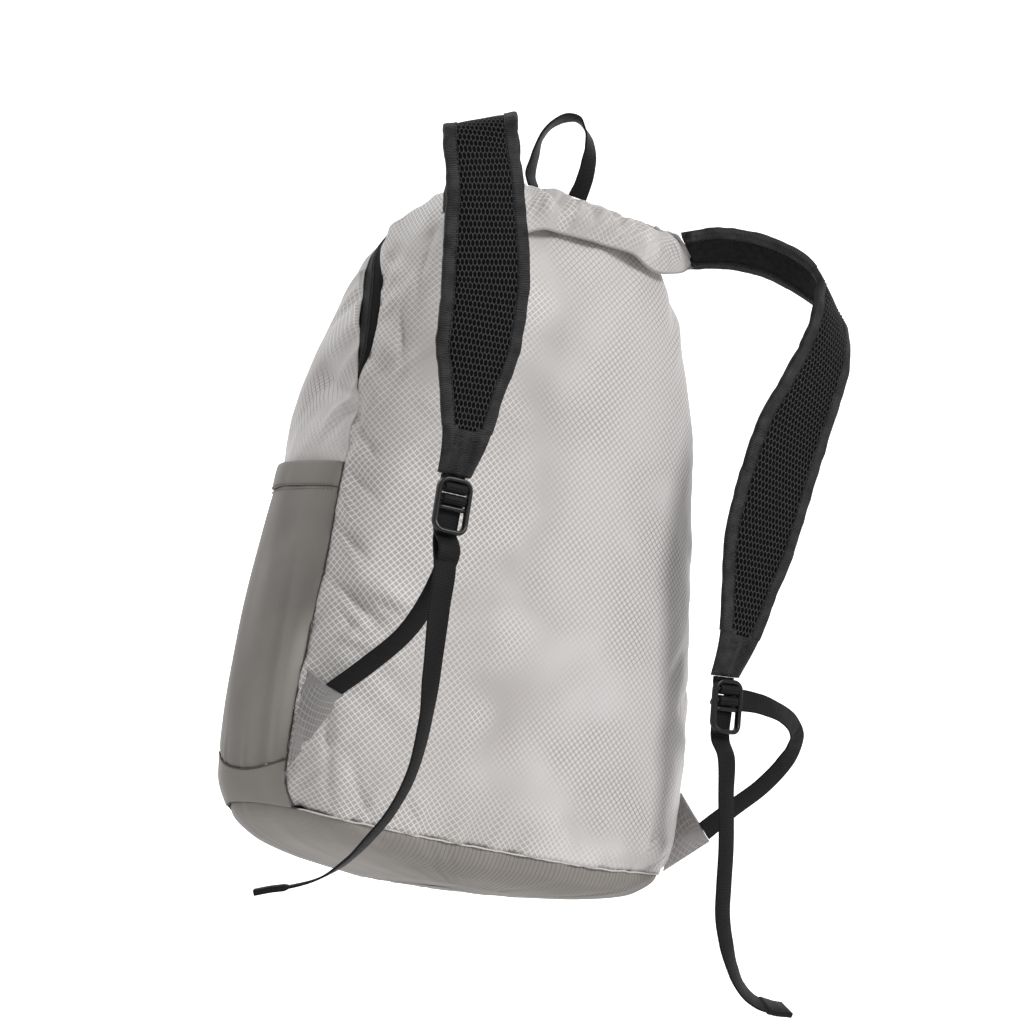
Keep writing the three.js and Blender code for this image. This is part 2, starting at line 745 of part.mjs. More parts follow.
// Frame of the slot at a row of the shell's grid, between the edges of the two panels.
function zipFrame(row, side) {
  const edge = (whole, which) => {
    const angle = seamAngles(whole)[which];
    return gridPoint(side * angle, whole, 0);
  };
  const low = Math.min(Math.floor(row), SHELL_ROWS - 1);
  const between = (which) => edge(low, which).lerp(edge(low + 1, which), row - low);
  const back = between('back');
  const front = between('front');
  const { place } = seamAngles(row);
  return {
    point: back.clone().add(front).multiplyScalar(0.5),
    wide: front.clone().sub(back).normalize(),
    face: bagNormal(rowHeight(row, place), side * angleOf(place)),
    half: back.distanceTo(front) / 2,
  };
}

const zipFrames = [];
const ZIP_STEPS = 2 * TOP_ROWS;
for (const side of [-1, 1]) {
  for (let k = 1; k <= ZIP_STEPS; k += 1) {
    const step = side < 0 ? k : ZIP_STEPS + 1 - k;
    zipFrames.push(zipFrame(ZIP_ROW + (TOP_ROWS * step) / ZIP_STEPS, side));
  }
}

addPiece('zipper_tape', sweptSolid(zipFrames.map((frame) => {
  const reach = frame.half - GAP;
  const coil = Math.min(ZIP_COIL_WIDTH / 2, reach * 0.6);
  const at = (w, f) => frame.point.clone()
    .addScaledVector(frame.wide, w)
    .addScaledVector(frame.face, f);
  const top = -ZIP_SINK;
  return [
    at(-reach, top - ZIP_TAPE_WALL), at(reach, top - ZIP_TAPE_WALL), at(reach, top),
    at(coil, top), at(coil * 0.7, top + ZIP_COIL_RISE), at(-coil * 0.7, top + ZIP_COIL_RISE),
    at(-coil, top), at(-reach, top),
  ];
})), BLACK_TAPE);

// Slider with a plain pull, on the tape near its right end.
const SLIDER_ROW = ZIP_ROW + 1.5;
const sliderFrame = zipFrame(SLIDER_ROW, 1);
const sliderNext = zipFrame(SLIDER_ROW + 0.2, 1);
const sliderUp = sliderNext.point.clone().sub(sliderFrame.point).normalize();
const sliderFace = sliderFrame.face.clone()
  .addScaledVector(sliderUp, -sliderFrame.face.dot(sliderUp)).normalize();
const sliderWide = sliderUp.clone().cross(sliderFace);
const sliderLevel = ZIP_COIL_RISE - ZIP_SINK + GAP;
const sliderBody = new THREE.BoxGeometry(SLIDER_WIDTH, SLIDER_LENGTH, SLIDER_RISE);
sliderBody.translate(0, 0, sliderLevel + SLIDER_RISE / 2);
const sliderBridge = new THREE.BoxGeometry(2, SLIDER_LENGTH * 0.6, 2);
sliderBridge.translate(0, 0, sliderLevel + SLIDER_RISE + 0.7);
const sliderPull = new THREE.BoxGeometry(PULL_WIDTH, PULL_LENGTH, 1.4);
sliderPull.translate(0, -PULL_LENGTH / 2, sliderLevel + SLIDER_RISE + 1.2);
const sliderPlace = new THREE.Matrix4().makeBasis(sliderWide, sliderUp, sliderFace);
sliderPlace.setPosition(sliderFrame.point);
const slider = joined([sliderBody, sliderBridge, sliderPull]);
slider.applyMatrix4(sliderPlace);
addPiece('zipper_slider', slider, BLACK_PLASTIC);

// Yoke: a gathered strip over the top of the back panel, with a wing at each end for a strap.

const YOKE_COLUMNS = 26;
const YOKE_ROWS = 6;

function yokePoint(column, row) {
  const along = (column / YOKE_COLUMNS) * 2 - 1;
  const side = Math.sign(along) || 1;
  const lines = [YOKE_LOWER, YOKE_LOW_FOLD, YOKE_HIGH_FOLD, YOKE_RIDGE];
  const points = lines.map((line, n) => {
    const rows = side < 0 ? [...line.slice(0, -1), [1, ...LEFT_WING_END[n]]] : line;
    const [x, y, z] = track(rows, Math.abs(along));
    return new THREE.Vector3((side * x * BAG_WIDTH) / 2, (y * BAG_DEPTH) / 2, z * BAG_HEIGHT);
  });
  return new THREE.CatmullRomCurve3(points, false, 'centripetal').getPoint(row / YOKE_ROWS);
}

function yokeFace(column, row) {
  const c0 = yokePoint(Math.max(column - 0.5, 0), row);
  const c1 = yokePoint(Math.min(column + 0.5, YOKE_COLUMNS), row);
  const r0 = yokePoint(column, Math.max(row - 0.5, 0));
  const r1 = yokePoint(column, Math.min(row + 0.5, YOKE_ROWS));
  return c1.sub(c0).cross(r1.sub(r0)).normalize();
}

function yokeSkin(column, row, out) {
  const along = column / YOKE_COLUMNS;
  const up = Math.min(row / YOKE_ROWS, 1);
  const wave = Math.sin(2 * Math.PI * GATHER_COUNT * along + 1.3 * Math.sin(5 * along) + 2 * up);
  const inner = Math.sin(Math.PI * along) ** 0.5;
  const lift = out + GATHER_DEPTH * wave * inner * Math.sin(2.6 * up);
  return yokePoint(column, row).addScaledVector(yokeFace(column, row), lift);
}

addPiece('yoke', skinSolid(
  YOKE_COLUMNS, YOKE_ROWS,
  (i, j) => yokeSkin(i, j, YOKE_WALL),
  (i, j) => yokeSkin(i, j, 0),
), RIPSTOP);

// Hang loop

addPiece('hang_loop', sweptSolid(loopRoute.frames.map((frame) => ribbonRing(
  frame, -WEBBING_WIDTH / 2, WEBBING_WIDTH / 2, -LOOP_THICKNESS / 2, LOOP_THICKNESS / 2,
))), BLACK_TAPE);

// Ladder locks. In a lock's own frame x runs across, y up towards the strap and z to the front.

const BAR_TURN = BAR_DIAMETER / 2 + BAR_CLEARANCE + WEBBING_THICKNESS / 2;
const WRAP = BAR_TURN + WEBBING_THICKNESS / 2;
const TAB_BAR = LOCK_LENGTH / 2 - LOCK_RIM - WRAP - BAR_CLEARANCE;
const GRIP_BAR = TAB_BAR - 2 * WRAP - SLOT_PLAY;
const PLAIN_BAR = GRIP_BAR - WRAP - BAR_CLEARANCE - BAR_DIAMETER / 2;
const LOCK_OPENING = LOCK_WIDTH - 2 * LOCK_RIM;

function lockMatrix(row) {
  const { point, wide } = station(row);
  const up = new THREE.Vector3(0, 0, 1).addScaledVector(wide, -wide.z).normalize();
  const face = wide.clone().cross(up);
  const matrix = new THREE.Matrix4().makeBasis(wide, up, face);
  matrix.setPosition(point);
  return { matrix, wide, up, face, point };
}

function roundedShape(target, half, high, corner) {
  const x = half - corner;
  const y = high - corner;
  target.moveTo(-x, -high);
  target.lineTo(x, -high);
  target.absarc(x, -y, corner, -Math.PI / 2, 0, false);
  target.lineTo(half, y);
  target.absarc(x, y, corner, 0, Math.PI / 2, false);
  target.lineTo(-x, high);
  target.absarc(-x, y, corner, Math.PI / 2, Math.PI, false);
  target.lineTo(-half, -y);
  target.absarc(-x, -y, corner, Math.PI, 1.5 * Math.PI, false);
  return target;
}

function ladderLock() {
  const outline = roundedShape(
    new THREE.Shape(), LOCK_WIDTH / 2, LOCK_LENGTH / 2, LOCK_CORNER);
  outline.holes.push(roundedShape(
    new THREE.Path(), LOCK_OPENING / 2, LOCK_LENGTH / 2 - LOCK_RIM, LOCK_CORNER - LOCK_RIM));
  const frame = new THREE.ExtrudeGeometry(outline, {
    depth: LOCK_THICKNESS, bevelEnabled: false, curveSegments: 3,
  });
  frame.translate(0, 0, -LOCK_THICKNESS / 2);
  const places = frame.attributes.position;
  const lipStart = PLAIN_BAR - 6;
  for (let k = 0; k < places.count; k += 1) {
    const down = Math.max((lipStart - places.getY(k)) / (LOCK_LENGTH / 2 + lipStart), 0);
    places.setZ(k, places.getZ(k) + LOCK_LIP * Math.min(down, 1) ** 2);
  }
  const bars = [TAB_BAR, GRIP_BAR, PLAIN_BAR].map((height) => {
    const bar = new THREE.CylinderGeometry(
      BAR_DIAMETER / 2, BAR_DIAMETER / 2, LOCK_OPENING + LOCK_RIM, 10);
    bar.rotateZ(Math.PI / 2);
    bar.translate(0, height, 0);
    return bar;
  });
  return joined([frame, ...bars]);
}

// Frames along a route that is given as points across a lock, all with the lock's own width.
function lockPoint(lock, x, y, z) {
  return new THREE.Vector3(x, y, z).applyMatrix4(lock.matrix);
}

// Short loop of webbing round the top bar: down behind it, up in front, back over it, with both
// ends together behind the rim, where the strap's tip holds them.
function strapTab(lock) {
  const step = WEBBING_THICKNESS + GAP;
  const fore = -LOCK_THICKNESS / 2 - WEBBING_THICKNESS - BAR_CLEARANCE;
  const aft = fore - step;
  const rim = LOCK_LENGTH / 2 - LOCK_RIM;
  const top = LOCK_LENGTH / 2 + TIP_RISE;
  const route = [
    [top, aft],
    [rim + 0.6, aft],
    [TAB_BAR + 1.4, aft + 0.8],
    [TAB_BAR - 0.9, -BAR_TURN],
    [TAB_BAR - 0.78 * BAR_TURN, -0.72 * BAR_TURN],
    [TAB_BAR - 1.02 * BAR_TURN, 0],
    [TAB_BAR - 0.72 * BAR_TURN, 0.72 * BAR_TURN],
    [TAB_BAR, 1.03 * BAR_TURN],
    [TAB_BAR + 0.72 * BAR_TURN, 0.72 * BAR_TURN],
    [TAB_BAR + 1.01 * BAR_TURN, 0],
    [TAB_BAR + 1.01 * BAR_TURN, fore + 2],
    [rim - 0.4, fore + 0.2],
    [rim + 1.6, fore],
    [top, fore],
  ].map(([y, z]) => ({ point: lockPoint(lock, 0, y, z), wide: lock.wide }));
  const { frames } = routeFrames(route, 3);
  return sweptSolid(frames.map((frame) => ribbonRing(
    frame, -WEBBING_WIDTH / 2, WEBBING_WIDTH / 2,
    -WEBBING_THICKNESS / 2, WEBBING_THICKNESS / 2)));
}

// The adjuster webbing: up from the corner tab, over the grip bar and down to the free end.
function webbingRoute(lock, standing, tail) {
  const turns = [
    [GRIP_BAR + 0.92 * BAR_TURN, -0.75 * BAR_TURN],
    [GRIP_BAR + 1.02 * BAR_TURN, 0],
    [GRIP_BAR + 0.72 * BAR_TURN, 0.72 * BAR_TURN],
    [GRIP_BAR, 1.04 * BAR_TURN],
    [GRIP_BAR - 0.72 * BAR_TURN, 0.72 * BAR_TURN],
    [GRIP_BAR - 1.02 * BAR_TURN, 0],
  ].map(([y, z]) => ({ point: lockPoint(lock, 0, y, z), wide: lock.wide }));
  const behind = -LOCK_THICKNESS / 2 - BAR_CLEARANCE - WEBBING_THICKNESS / 2;
  const second = behind - WEBBING_THICKNESS - SLOT_PLAY;
  const exit = [
    [GRIP_BAR - 1.16 * BAR_TURN, behind + 0.8],
    [PLAIN_BAR + 0.8, behind - 0.1],
    [PLAIN_BAR - 1.5, behind - 0.1],
    [-LOCK_LENGTH / 2 - 3, behind - 0.2],
  ].map(([y, z]) => ({ point: lockPoint(lock, 0, y, z), wide: lock.wide }));
  return { standing: standing.map(station), turns, exit, tail: tail.map(station), second };
}

function webbing(route) {
  const stations = [...route.standing, ...route.lead, ...route.turns, ...route.exit, ...route.tail];
  const { frames, total } = routeFrames(stations, 9);
  const rings = frames.map((frame) => {
    const left = total - frame.at;
    const thick = left < HEM_TIP_LENGTH ? HEM_TIP_THICKNESS : WEBBING_THICKNESS;
    return ribbonRing(frame, -WEBBING_WIDTH / 2, WEBBING_WIDTH / 2, -thick / 2, thick / 2);
  });
  return sweptSolid(rings);
}

// Strap half width at a share of its length.
const STRAP_PROFILE = [
  [0.00, 0.00, 0],
  [0.25, 0.02, 0],
  [0.45, 0.45, 0],
  [0.62, 1.00, 0],
  [0.74, 0.86, 0],
  [0.86, 0.30, 0.35],
  [1.00, 0.00, 1],
];

function strapHalf(share) {
  const [swell, taper] = track(STRAP_PROFILE, share);
  const full = STRAP_ROOT_WIDTH + (STRAP_FULL_WIDTH - STRAP_ROOT_WIDTH) * swell;
  return mix(full, STRAP_TIP_WIDTH, taper) / 2;
}

// Where a strap is sewn on: a frame along the wing's end edge and a gap beyond it, square to the
// way in which the strap leaves.
function wingEnd(side, next) {
  const column = side < 0 ? 0 : YOKE_COLUMNS;
  const ridge = yokePoint(column, YOKE_ROWS);
  const lower = yokePoint(column, 0);
  const wide = side < 0 ? ridge.clone().sub(lower) : lower.clone().sub(ridge);
  wide.normalize();
  const point = ridge.add(lower).multiplyScalar(0.5);
  const forward = next.clone().sub(point);
  forward.addScaledVector(wide, -forward.dot(wide)).normalize();
  const face = forward.clone().cross(wide);
  point.addScaledVector(forward, GAP + SEAM_ROOM);
  return { point, forward, wide, face };
}

// A strap: the bare pad in the middle, and the binding round it with the plain patch at the tip.
function strapPieces(side, rows, lock) {
  const stations = rows.map(station);
  const root = wingEnd(side, stations[0].point);
  const held = -LOCK_THICKNESS / 2 - WEBBING_THICKNESS - BAR_CLEARANCE;
  const tip = {
    point: lockPoint(lock, 0, LOCK_LENGTH / 2 + TIP_RISE + GAP, held),
    forward: lock.up.clone().negate(),
    wide: lock.wide,
    face: lock.face,
  };
  const { frames, total } = routeFrames([root, ...stations, tip], STRAP_STEP);
  Object.assign(frames[0], root);
  Object.assign(frames[frames.length - 1], tip);
  frames.forEach((frame) => {
    frame.half = strapHalf(frame.at / total);
  });
  const bare = frames.filter((frame) => frame.at < total - TIP_PATCH_LENGTH);
  const skin = (level) => (i, j) => {
    const frame = frames[j];
    const across = [-frame.half, BINDING_WIDTH - frame.half,
      frame.half - BINDING_WIDTH, frame.half][i];
    return frame.point.clone()
      .addScaledVector(frame.wide, across)
      .addScaledVector(frame.face, level);
  };
  const binding = skinSolid(3, frames.length - 1,
    skin(BINDING_THICKNESS / 2), skin(-BINDING_THICKNESS / 2),
    { keep: (i, j) => i !== 1 || j >= bare.length - 1 });
  const pad = bare.map((frame, k) => {
    const reach = frame.half - BINDING_WIDTH - (k < 4 ? ROOT_PAD_GAP : PAD_GAP);
    const back = k === bare.length - 1 ? PAD_GAP : 0;
    const point = frame.point.clone().addScaledVector(frame.forward, -back);
    return ribbonRing({ ...frame, point }, -reach, reach,
      -STRAP_PAD_THICKNESS / 2, STRAP_PAD_THICKNESS / 2);
  });
  return { binding, pad: sweptSolid(pad), total };
}

// Corner tab: a folded triangle of ripstop from the side seam to the webbing's end.
function cornerTab(side, root, first, second) {
  const towards = second.point.clone().sub(first.point).normalize();
  const wide = first.wide.clone().addScaledVector(towards, -first.wide.dot(towards)).normalize();
  const [high, low] = root.map((share) => {
    const height = share * BAG_HEIGHT;
    const [place] = track(SEAM, share);
    return clothPoint(height, side * angleOf(place - 0.04), TAB_THICKNESS + GAP);
  });
  const reach = WEBBING_WIDTH / 2 + 1;
  const edge = first.point.clone().addScaledVector(towards, -GAP - 0.3);
  const upper = edge.clone().addScaledVector(wide, -side * reach);
  const lower = edge.clone().addScaledVector(wide, side * reach);
  const ends = upper.z > lower.z ? [upper, lower] : [lower, upper];
  const face = ends[0].clone().sub(low).cross(ends[1].clone().sub(high)).normalize();
  const at = (i, j, out) => {
    const across = i / 4;
    const a = high.clone().lerp(ends[0], across);
    const b = low.clone().lerp(ends[1], across);
    const bow = 0.8 * Math.sin(Math.PI * across) * Math.sin((Math.PI * j) / 3);
    return a.lerp(b, j / 3).addScaledVector(face, out - side * bow);
  };
  return skinSolid(4, 3, (i, j) => at(i, j, TAB_THICKNESS / 2),
    (i, j) => at(i, j, -TAB_THICKNESS / 2));
}

const SIDES = [
  {
    name: 'left',
    side: -1,
    strap: STRAP_LEFT,
    lock: lockMatrix(LOCK_LEFT),
    standing: STANDING_LEFT,
    tail: TAIL_LEFT,
    root: TAB_ROOT_LEFT,
    lead: [[0, 3 - LOCK_LENGTH / 2, 0, 0], [0, PLAIN_BAR - 2, 0, 0], [0, GRIP_BAR - 1, -0.1, 0]],
  },
  {
    name: 'right',
    side: 1,
    strap: STRAP_RIGHT,
    lock: lockMatrix(LOCK_RIGHT),
    standing: STANDING_RIGHT,
    tail: TAIL_RIGHT,
    root: TAB_ROOT_RIGHT,
    lead: [[8, GRIP_BAR + 1, -4.5, 42], [2, GRIP_BAR + 1.2, -2.6, 14]],
  },
];

for (const { name, side, strap, lock, standing, tail, root, lead } of SIDES) {
  const { binding, pad } = strapPieces(side, strap, lock);
  addPiece(`strap_pad_${name}`, pad, STRAP_MESH);
  addPiece(`strap_binding_${name}`, binding, BINDING_CLOTH);
  addPiece(`ladder_lock_${name}`, ladderLock().applyMatrix4(lock.matrix), BLACK_PLASTIC);
  addPiece(`strap_tab_${name}`, strapTab(lock), BLACK_TAPE);
  const route = webbingRoute(lock, standing, tail);
  route.lead = lead.map(([x, y, z, turn]) => {
    const angle = THREE.MathUtils.degToRad(turn);
    const wide = lock.wide.clone().multiplyScalar(Math.cos(angle))
      .addScaledVector(lock.up, Math.sin(angle));
    return { point: lockPoint(lock, x, y, route.second + z), wide };
  });
  addPiece(`adjuster_webbing_${name}`, webbing(route), BLACK_TAPE);
  addPiece(`corner_tab_${name}`,
    cornerTab(side, root, route.standing[0], route.standing[1]), RIPSTOP);
}

export default scene;
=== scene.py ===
"""A packable backpack that hangs from its loop, dressed over its CAD frame.

Shapes are worked out in millimetres with z = 0 at the lowest point of the base, from the same
sizes and tables as the CAD model, and then moved so that the hang point is the origin.
"""

import copy
import math

import bpy
import numpy as np
from mathutils import Matrix, Vector


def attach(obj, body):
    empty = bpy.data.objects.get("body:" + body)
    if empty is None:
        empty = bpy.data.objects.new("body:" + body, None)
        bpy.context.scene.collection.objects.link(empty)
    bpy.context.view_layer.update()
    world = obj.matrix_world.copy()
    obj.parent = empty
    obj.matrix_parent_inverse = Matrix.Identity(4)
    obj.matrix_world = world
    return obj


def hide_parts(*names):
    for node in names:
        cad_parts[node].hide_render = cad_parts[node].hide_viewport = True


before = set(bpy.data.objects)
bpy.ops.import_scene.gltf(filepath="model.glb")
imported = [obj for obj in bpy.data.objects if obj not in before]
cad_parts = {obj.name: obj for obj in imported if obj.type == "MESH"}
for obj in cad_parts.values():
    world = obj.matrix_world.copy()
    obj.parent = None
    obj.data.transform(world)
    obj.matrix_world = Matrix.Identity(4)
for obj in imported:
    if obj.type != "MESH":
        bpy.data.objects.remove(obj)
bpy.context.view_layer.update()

HANG = np.array([-4.0781, -38.8835, 484.5123])

BAG_HEIGHT = 436.0
BAG_WIDTH = 308.0
BAG_DEPTH = 170.0
SECTION_POWER = 3.2
FRONT_POWER = 2.7
LOW_SEAM = -0.52
SIDE_PLACE = -0.3
GAP = 0.3

BASE_SEAM_BACK = 22.5
BASE_SEAM_SIDE = 31.0
POCKET_SEAM = 49.0
POCKET_SMILE = 11.0
POCKET_TOP = 241.0
ZIP_END = 291.0
POCKET_HEM = 16.0
POCKET_BULGE = 7.0
POCKET_REACH = 0.55
ZIP_SLOT = 16.0
ZIP_SINK = 0.4

STRAP_ROOT_WIDTH = 43.0
STRAP_FULL_WIDTH = 54.0
STRAP_TIP_WIDTH = 22.0
STRAP_PAD_THICKNESS = 4.0
BINDING_WIDTH = 8.5
BINDING_THICKNESS = 5.0
TIP_PATCH_LENGTH = 26.0
SEAM_ROOM = 1.3
TIP_RISE = 1.5

WEBBING_WIDTH = 15.0
WEBBING_THICKNESS = 1.4
HEM_TIP_LENGTH = 20.0
HEM_TIP_THICKNESS = 3.4
LOCK_WIDTH = 23.0
LOCK_LENGTH = 34.0
LOCK_THICKNESS = 4.4
LOCK_RIM = 2.8
LOCK_CORNER = 7.2
LOCK_LIP = 2.5
BAR_DIAMETER = 3.0
BAR_CLEARANCE = 0.35
SLOT_PLAY = 0.5
TAB_THICKNESS = 2.0

# Sizes that only the visual model has: walls of thin cloth, cells of the weave and of the mesh.
CLOTH_WALL = 0.9
POCKET_WALL = 0.8
HEM_WALL = 2.2
TAB_WALL = 1.6
SEAM_PINCH = 2.6
CELL_WIDTH = 4.4
CELL_HEIGHT = 4.3
MESH_HOLE_WIDTH = 2.6
MESH_HOLE_HEIGHT = 3.7
RIB_PITCH = 3.2

# Level sections: height, half width, depth behind and in front, as shares.
BODY = [
    [0.000, 0.300, 0.620, 0.540],
    [0.012, 0.600, 0.800, 0.680],
    [0.030, 0.810, 0.920, 0.760],
    [0.060, 0.930, 0.970, 0.850],
    [0.110, 0.988, 1.000, 0.925],
    [0.200, 0.994, 1.000, 0.960],
    [0.310, 0.972, 0.990, 0.970],
    [0.460, 0.917, 0.970, 0.970],
    [0.600, 0.860, 0.950, 0.940],
    [0.700, 0.810, 0.925, 0.850],
    [0.790, 0.735, 0.875, 0.770],
    [0.860, 0.662, 0.815, 0.700],
    [0.915, 0.575, 0.755, 0.610],
    [0.955, 0.485, 0.690, 0.470],
    [0.980, 0.385, 0.590, 0.290],
    [0.995, 0.260, 0.430, 0.090],
    [1.000, 0.170, 0.240, -0.100],
]

# Side seam and zip: height share, place between back and front, zip slot share.
SEAM = [
    [0.05, -0.49, 0],
    [0.12, -0.46, 0],
    [0.30, -0.48, 0],
    [0.41, -0.47, 0],
    [0.48, -0.44, 0],
    [0.55, -0.41, 0],
    [0.60, -0.36, 0],
    [0.640, -0.35, 0],
    [0.667, -0.30, 0.03],
    [0.717, -0.24, 0.75],
    [0.782, -0.06, 1.25],
    [0.83, 0.13, 1.25],
    [0.865, 0.33, 1.00],
    [0.915, 0.60, 0.75],
    [0.955, 0.60, 0.60],
    [0.98, 0.48, 0.56],
    [0.995, 0.22, 0.54],
    [1.00, 0.00, 0.54],
]

# Dents and folds: side, start height and place, end height and place, half width, depth.
FOLDS = [
    [-1, 0.69, 0.53, 0.62, 0.43, 0.016, 0.050],
    [-1, 0.585, 0.44, 0.57, 0.42, 0.014, 0.030],
    [-1, 0.385, 0.355, 0.330, 0.225, 0.016, 0.045],
    [-1, 0.400, 0.300, 0.360, 0.180, 0.014, -0.030],
    [-1, 0.240, 0.320, 0.085, 0.290, 0.012, 0.035],
    [1, 0.080, 0.330, 0.050, 0.150, 0.012, 0.035],
    [1, 0.110, 0.300, 0.075, 0.100, 0.014, -0.025],
    [-1, 0.90, 0.42, 0.80, 0.36, 0.016, 0.030],
    [1, 0.69, 0.53, 0.62, 0.43, 0.016, 0.050],
    [1, 0.400, 0.300, 0.340, 0.200, 0.016, 0.035],
    [-1, 0.560, 0.880, 0.450, 0.700, 0.022, 0.035],
    [1, 0.520, 0.860, 0.420, 0.720, 0.022, 0.035],
    [1, 0.200, 0.900, 0.120, 0.680, 0.018, 0.030],
    [-1, 0.180, 0.900, 0.110, 0.660, 0.018, 0.030],
]

# Fine folds that only the visual model has, in the same columns.
FINE_FOLDS = [
    [-1, 0.620, 0.430, 0.560, 0.330, 0.008, 0.016],
    [-1, 0.545, 0.400, 0.500, 0.300, 0.007, 0.014],
    [-1, 0.520, 0.410, 0.470, 0.360, 0.006, -0.014],
    [-1, 0.470, 0.395, 0.420, 0.300, 0.008, 0.020],
    [-1, 0.440, 0.380, 0.405, 0.310, 0.006, -0.018],
    [-1, 0.350, 0.350, 0.315, 0.270, 0.006, 0.020],
    [-1, 0.310, 0.330, 0.300, 0.250, 0.006, -0.016],
    [-1, 0.365, 0.260, 0.350, 0.200, 0.006, 0.016],
    [-1, 0.378, 0.335, 0.335, 0.238, 0.010, 0.024],
    [-1, 0.402, 0.345, 0.366, 0.250, 0.008, -0.012],
    [-1, 0.860, 0.300, 0.800, 0.240, 0.008, 0.014],
    [-1, 0.910, 0.330, 0.840, 0.180, 0.008, 0.016],
    [-1, 0.780, 0.400, 0.700, 0.330, 0.008, 0.014],
    [-1, 0.130, 0.240, 0.065, 0.200, 0.007, 0.014],
    [-1, 0.110, 0.140, 0.062, 0.110, 0.007, 0.012],
    [1, 0.105, 0.030, 0.062, 0.050, 0.007, 0.012],
    [1, 0.120, 0.210, 0.065, 0.180, 0.007, 0.018],
    [1, 0.115, 0.330, 0.065, 0.250, 0.007, 0.020],
    [1, 0.620, 0.420, 0.560, 0.340, 0.008, 0.016],
    [1, 0.500, 0.400, 0.450, 0.320, 0.007, 0.014],
    [1, 0.340, 0.360, 0.300, 0.250, 0.007, 0.020],
]

YOKE_LOWER = [
    [0.0, 0.000, -0.790, 0.931],
    [0.3, 0.208, -0.785, 0.929],
    [0.6, 0.370, -0.765, 0.912],
    [0.8, 0.545, -0.640, 0.927],
    [1.0, 0.708, -0.435, 0.951],
]
YOKE_LOW_FOLD = [
    [0.0, 0.000, -0.800, 0.970],
    [0.3, 0.195, -0.785, 0.966],
    [0.6, 0.364, -0.740, 0.948],
    [0.8, 0.512, -0.680, 0.946],
    [1.0, 0.630, -0.541, 0.960],
]
YOKE_HIGH_FOLD = [
    [0.0, 0.000, -0.660, 0.987],
    [0.3, 0.182, -0.665, 0.983],
    [0.6, 0.340, -0.690, 0.975],
    [0.8, 0.455, -0.715, 0.968],
    [1.0, 0.552, -0.641, 0.969],
]
LEFT_WING_END = [
    [0.615, -0.496, 0.925],
    [0.549, -0.597, 0.943],
    [0.482, -0.698, 0.960],
    [0.416, -0.799, 0.978],
]
YOKE_RIDGE = [
    [0.0, 0.000, -0.340, 1.001],
    [0.3, 0.162, -0.365, 0.998],
    [0.6, 0.312, -0.470, 0.988],
    [0.8, 0.403, -0.635, 0.983],
    [1.0, 0.474, -0.741, 0.978],
]

# Routes: x, y, z as shares, then heading and rise of the width in degrees.
STRAP_LEFT = [
    [-0.580, -0.872, 0.993, -36, 24],
    [-0.702, -1.120, 1.012, -29, 22],
    [-0.810, -1.353, 1.025, -22, 22],
    [-0.893, -1.553, 1.008, -18, 20],
    [-0.912, -1.647, 0.976, -17, 17],
    [-0.895, -1.706, 0.931, -17, 13],
    [-0.863, -1.718, 0.865, -18, 11],
    [-0.822, -1.706, 0.787, -19, 10],
    [-0.810, -1.682, 0.705, -20, 9],
    [-0.802, -1.665, 0.640, -17, 8],
    [-0.797, -1.652, 0.585, -13, 4],
]
STRAP_RIGHT = [
    [0.709, -0.706, 0.976, 43, -22],
    [0.850, -0.859, 0.976, 49, -23],
    [0.965, -1.012, 0.962, 50, -24],
    [1.042, -1.118, 0.943, 43, -24],
    [1.071, -1.247, 0.925, 29, -24],
    [1.061, -1.341, 0.898, 19, -21],
    [1.037, -1.412, 0.862, 14, -14],
    [1.000, -1.459, 0.819, 8, -7],
    [0.936, -1.492, 0.768, 2, -2],
    [0.862, -1.495, 0.694, -5, -1],
    [0.808, -1.465, 0.583, -7, 2],
    [0.798, -1.410, 0.487, -8, 1],
    [0.792, -1.370, 0.405, -3, 3],
]
LOCK_LEFT = [-0.808, -1.640, 0.490, -9, -1]
LOCK_RIGHT = [0.788, -1.341, 0.306, 2, 4]
STANDING_LEFT = [
    [-0.906, -0.788, 0.232, 22, -20],
    [-0.856, -1.024, 0.269, 26, -25],
    [-0.808, -1.310, 0.318, 18, -14],
    [-0.808, -1.560, 0.375, 8, 2],
    [-0.812, -1.695, 0.428, -2, 0],
]
STANDING_RIGHT = [
    [1.031, -0.729, 0.135, 12, -30],
    [1.122, -0.824, 0.174, 18, -24],
    [1.211, -0.929, 0.211, 14, -17],
    [1.267, -1.035, 0.250, 8, -4],
    [1.262, -1.140, 0.280, 16, 10],
    [1.205, -1.220, 0.301, 30, 24],
    [1.110, -1.270, 0.314, 38, 38],
    [1.010, -1.262, 0.321, 42, 54],
    [0.915, -1.230, 0.322, 42, 62],
]
TAIL_LEFT = [
    [-0.826, -1.705, 0.400, -4, 4],
    [-0.824, -1.700, 0.345, 0, 10],
    [-0.814, -1.694, 0.262, 12, 11],
    [-0.806, -1.677, 0.195, 27, 2],
    [-0.817, -1.629, 0.123, 34, 1],
    [-0.851, -1.543, 0.070, 38, -1],
    [-0.894, -1.458, 0.034, 40, -3],
    [-0.949, -1.357, -0.002, 46, 0],
    [-1.019, -1.245, -0.030, 52, 5],
    [-1.097, -1.129, -0.046, 54, 7],
    [-1.161, -1.039, -0.054, 54, 7],
    [-1.207, -0.973, -0.061, 54, 7],
]
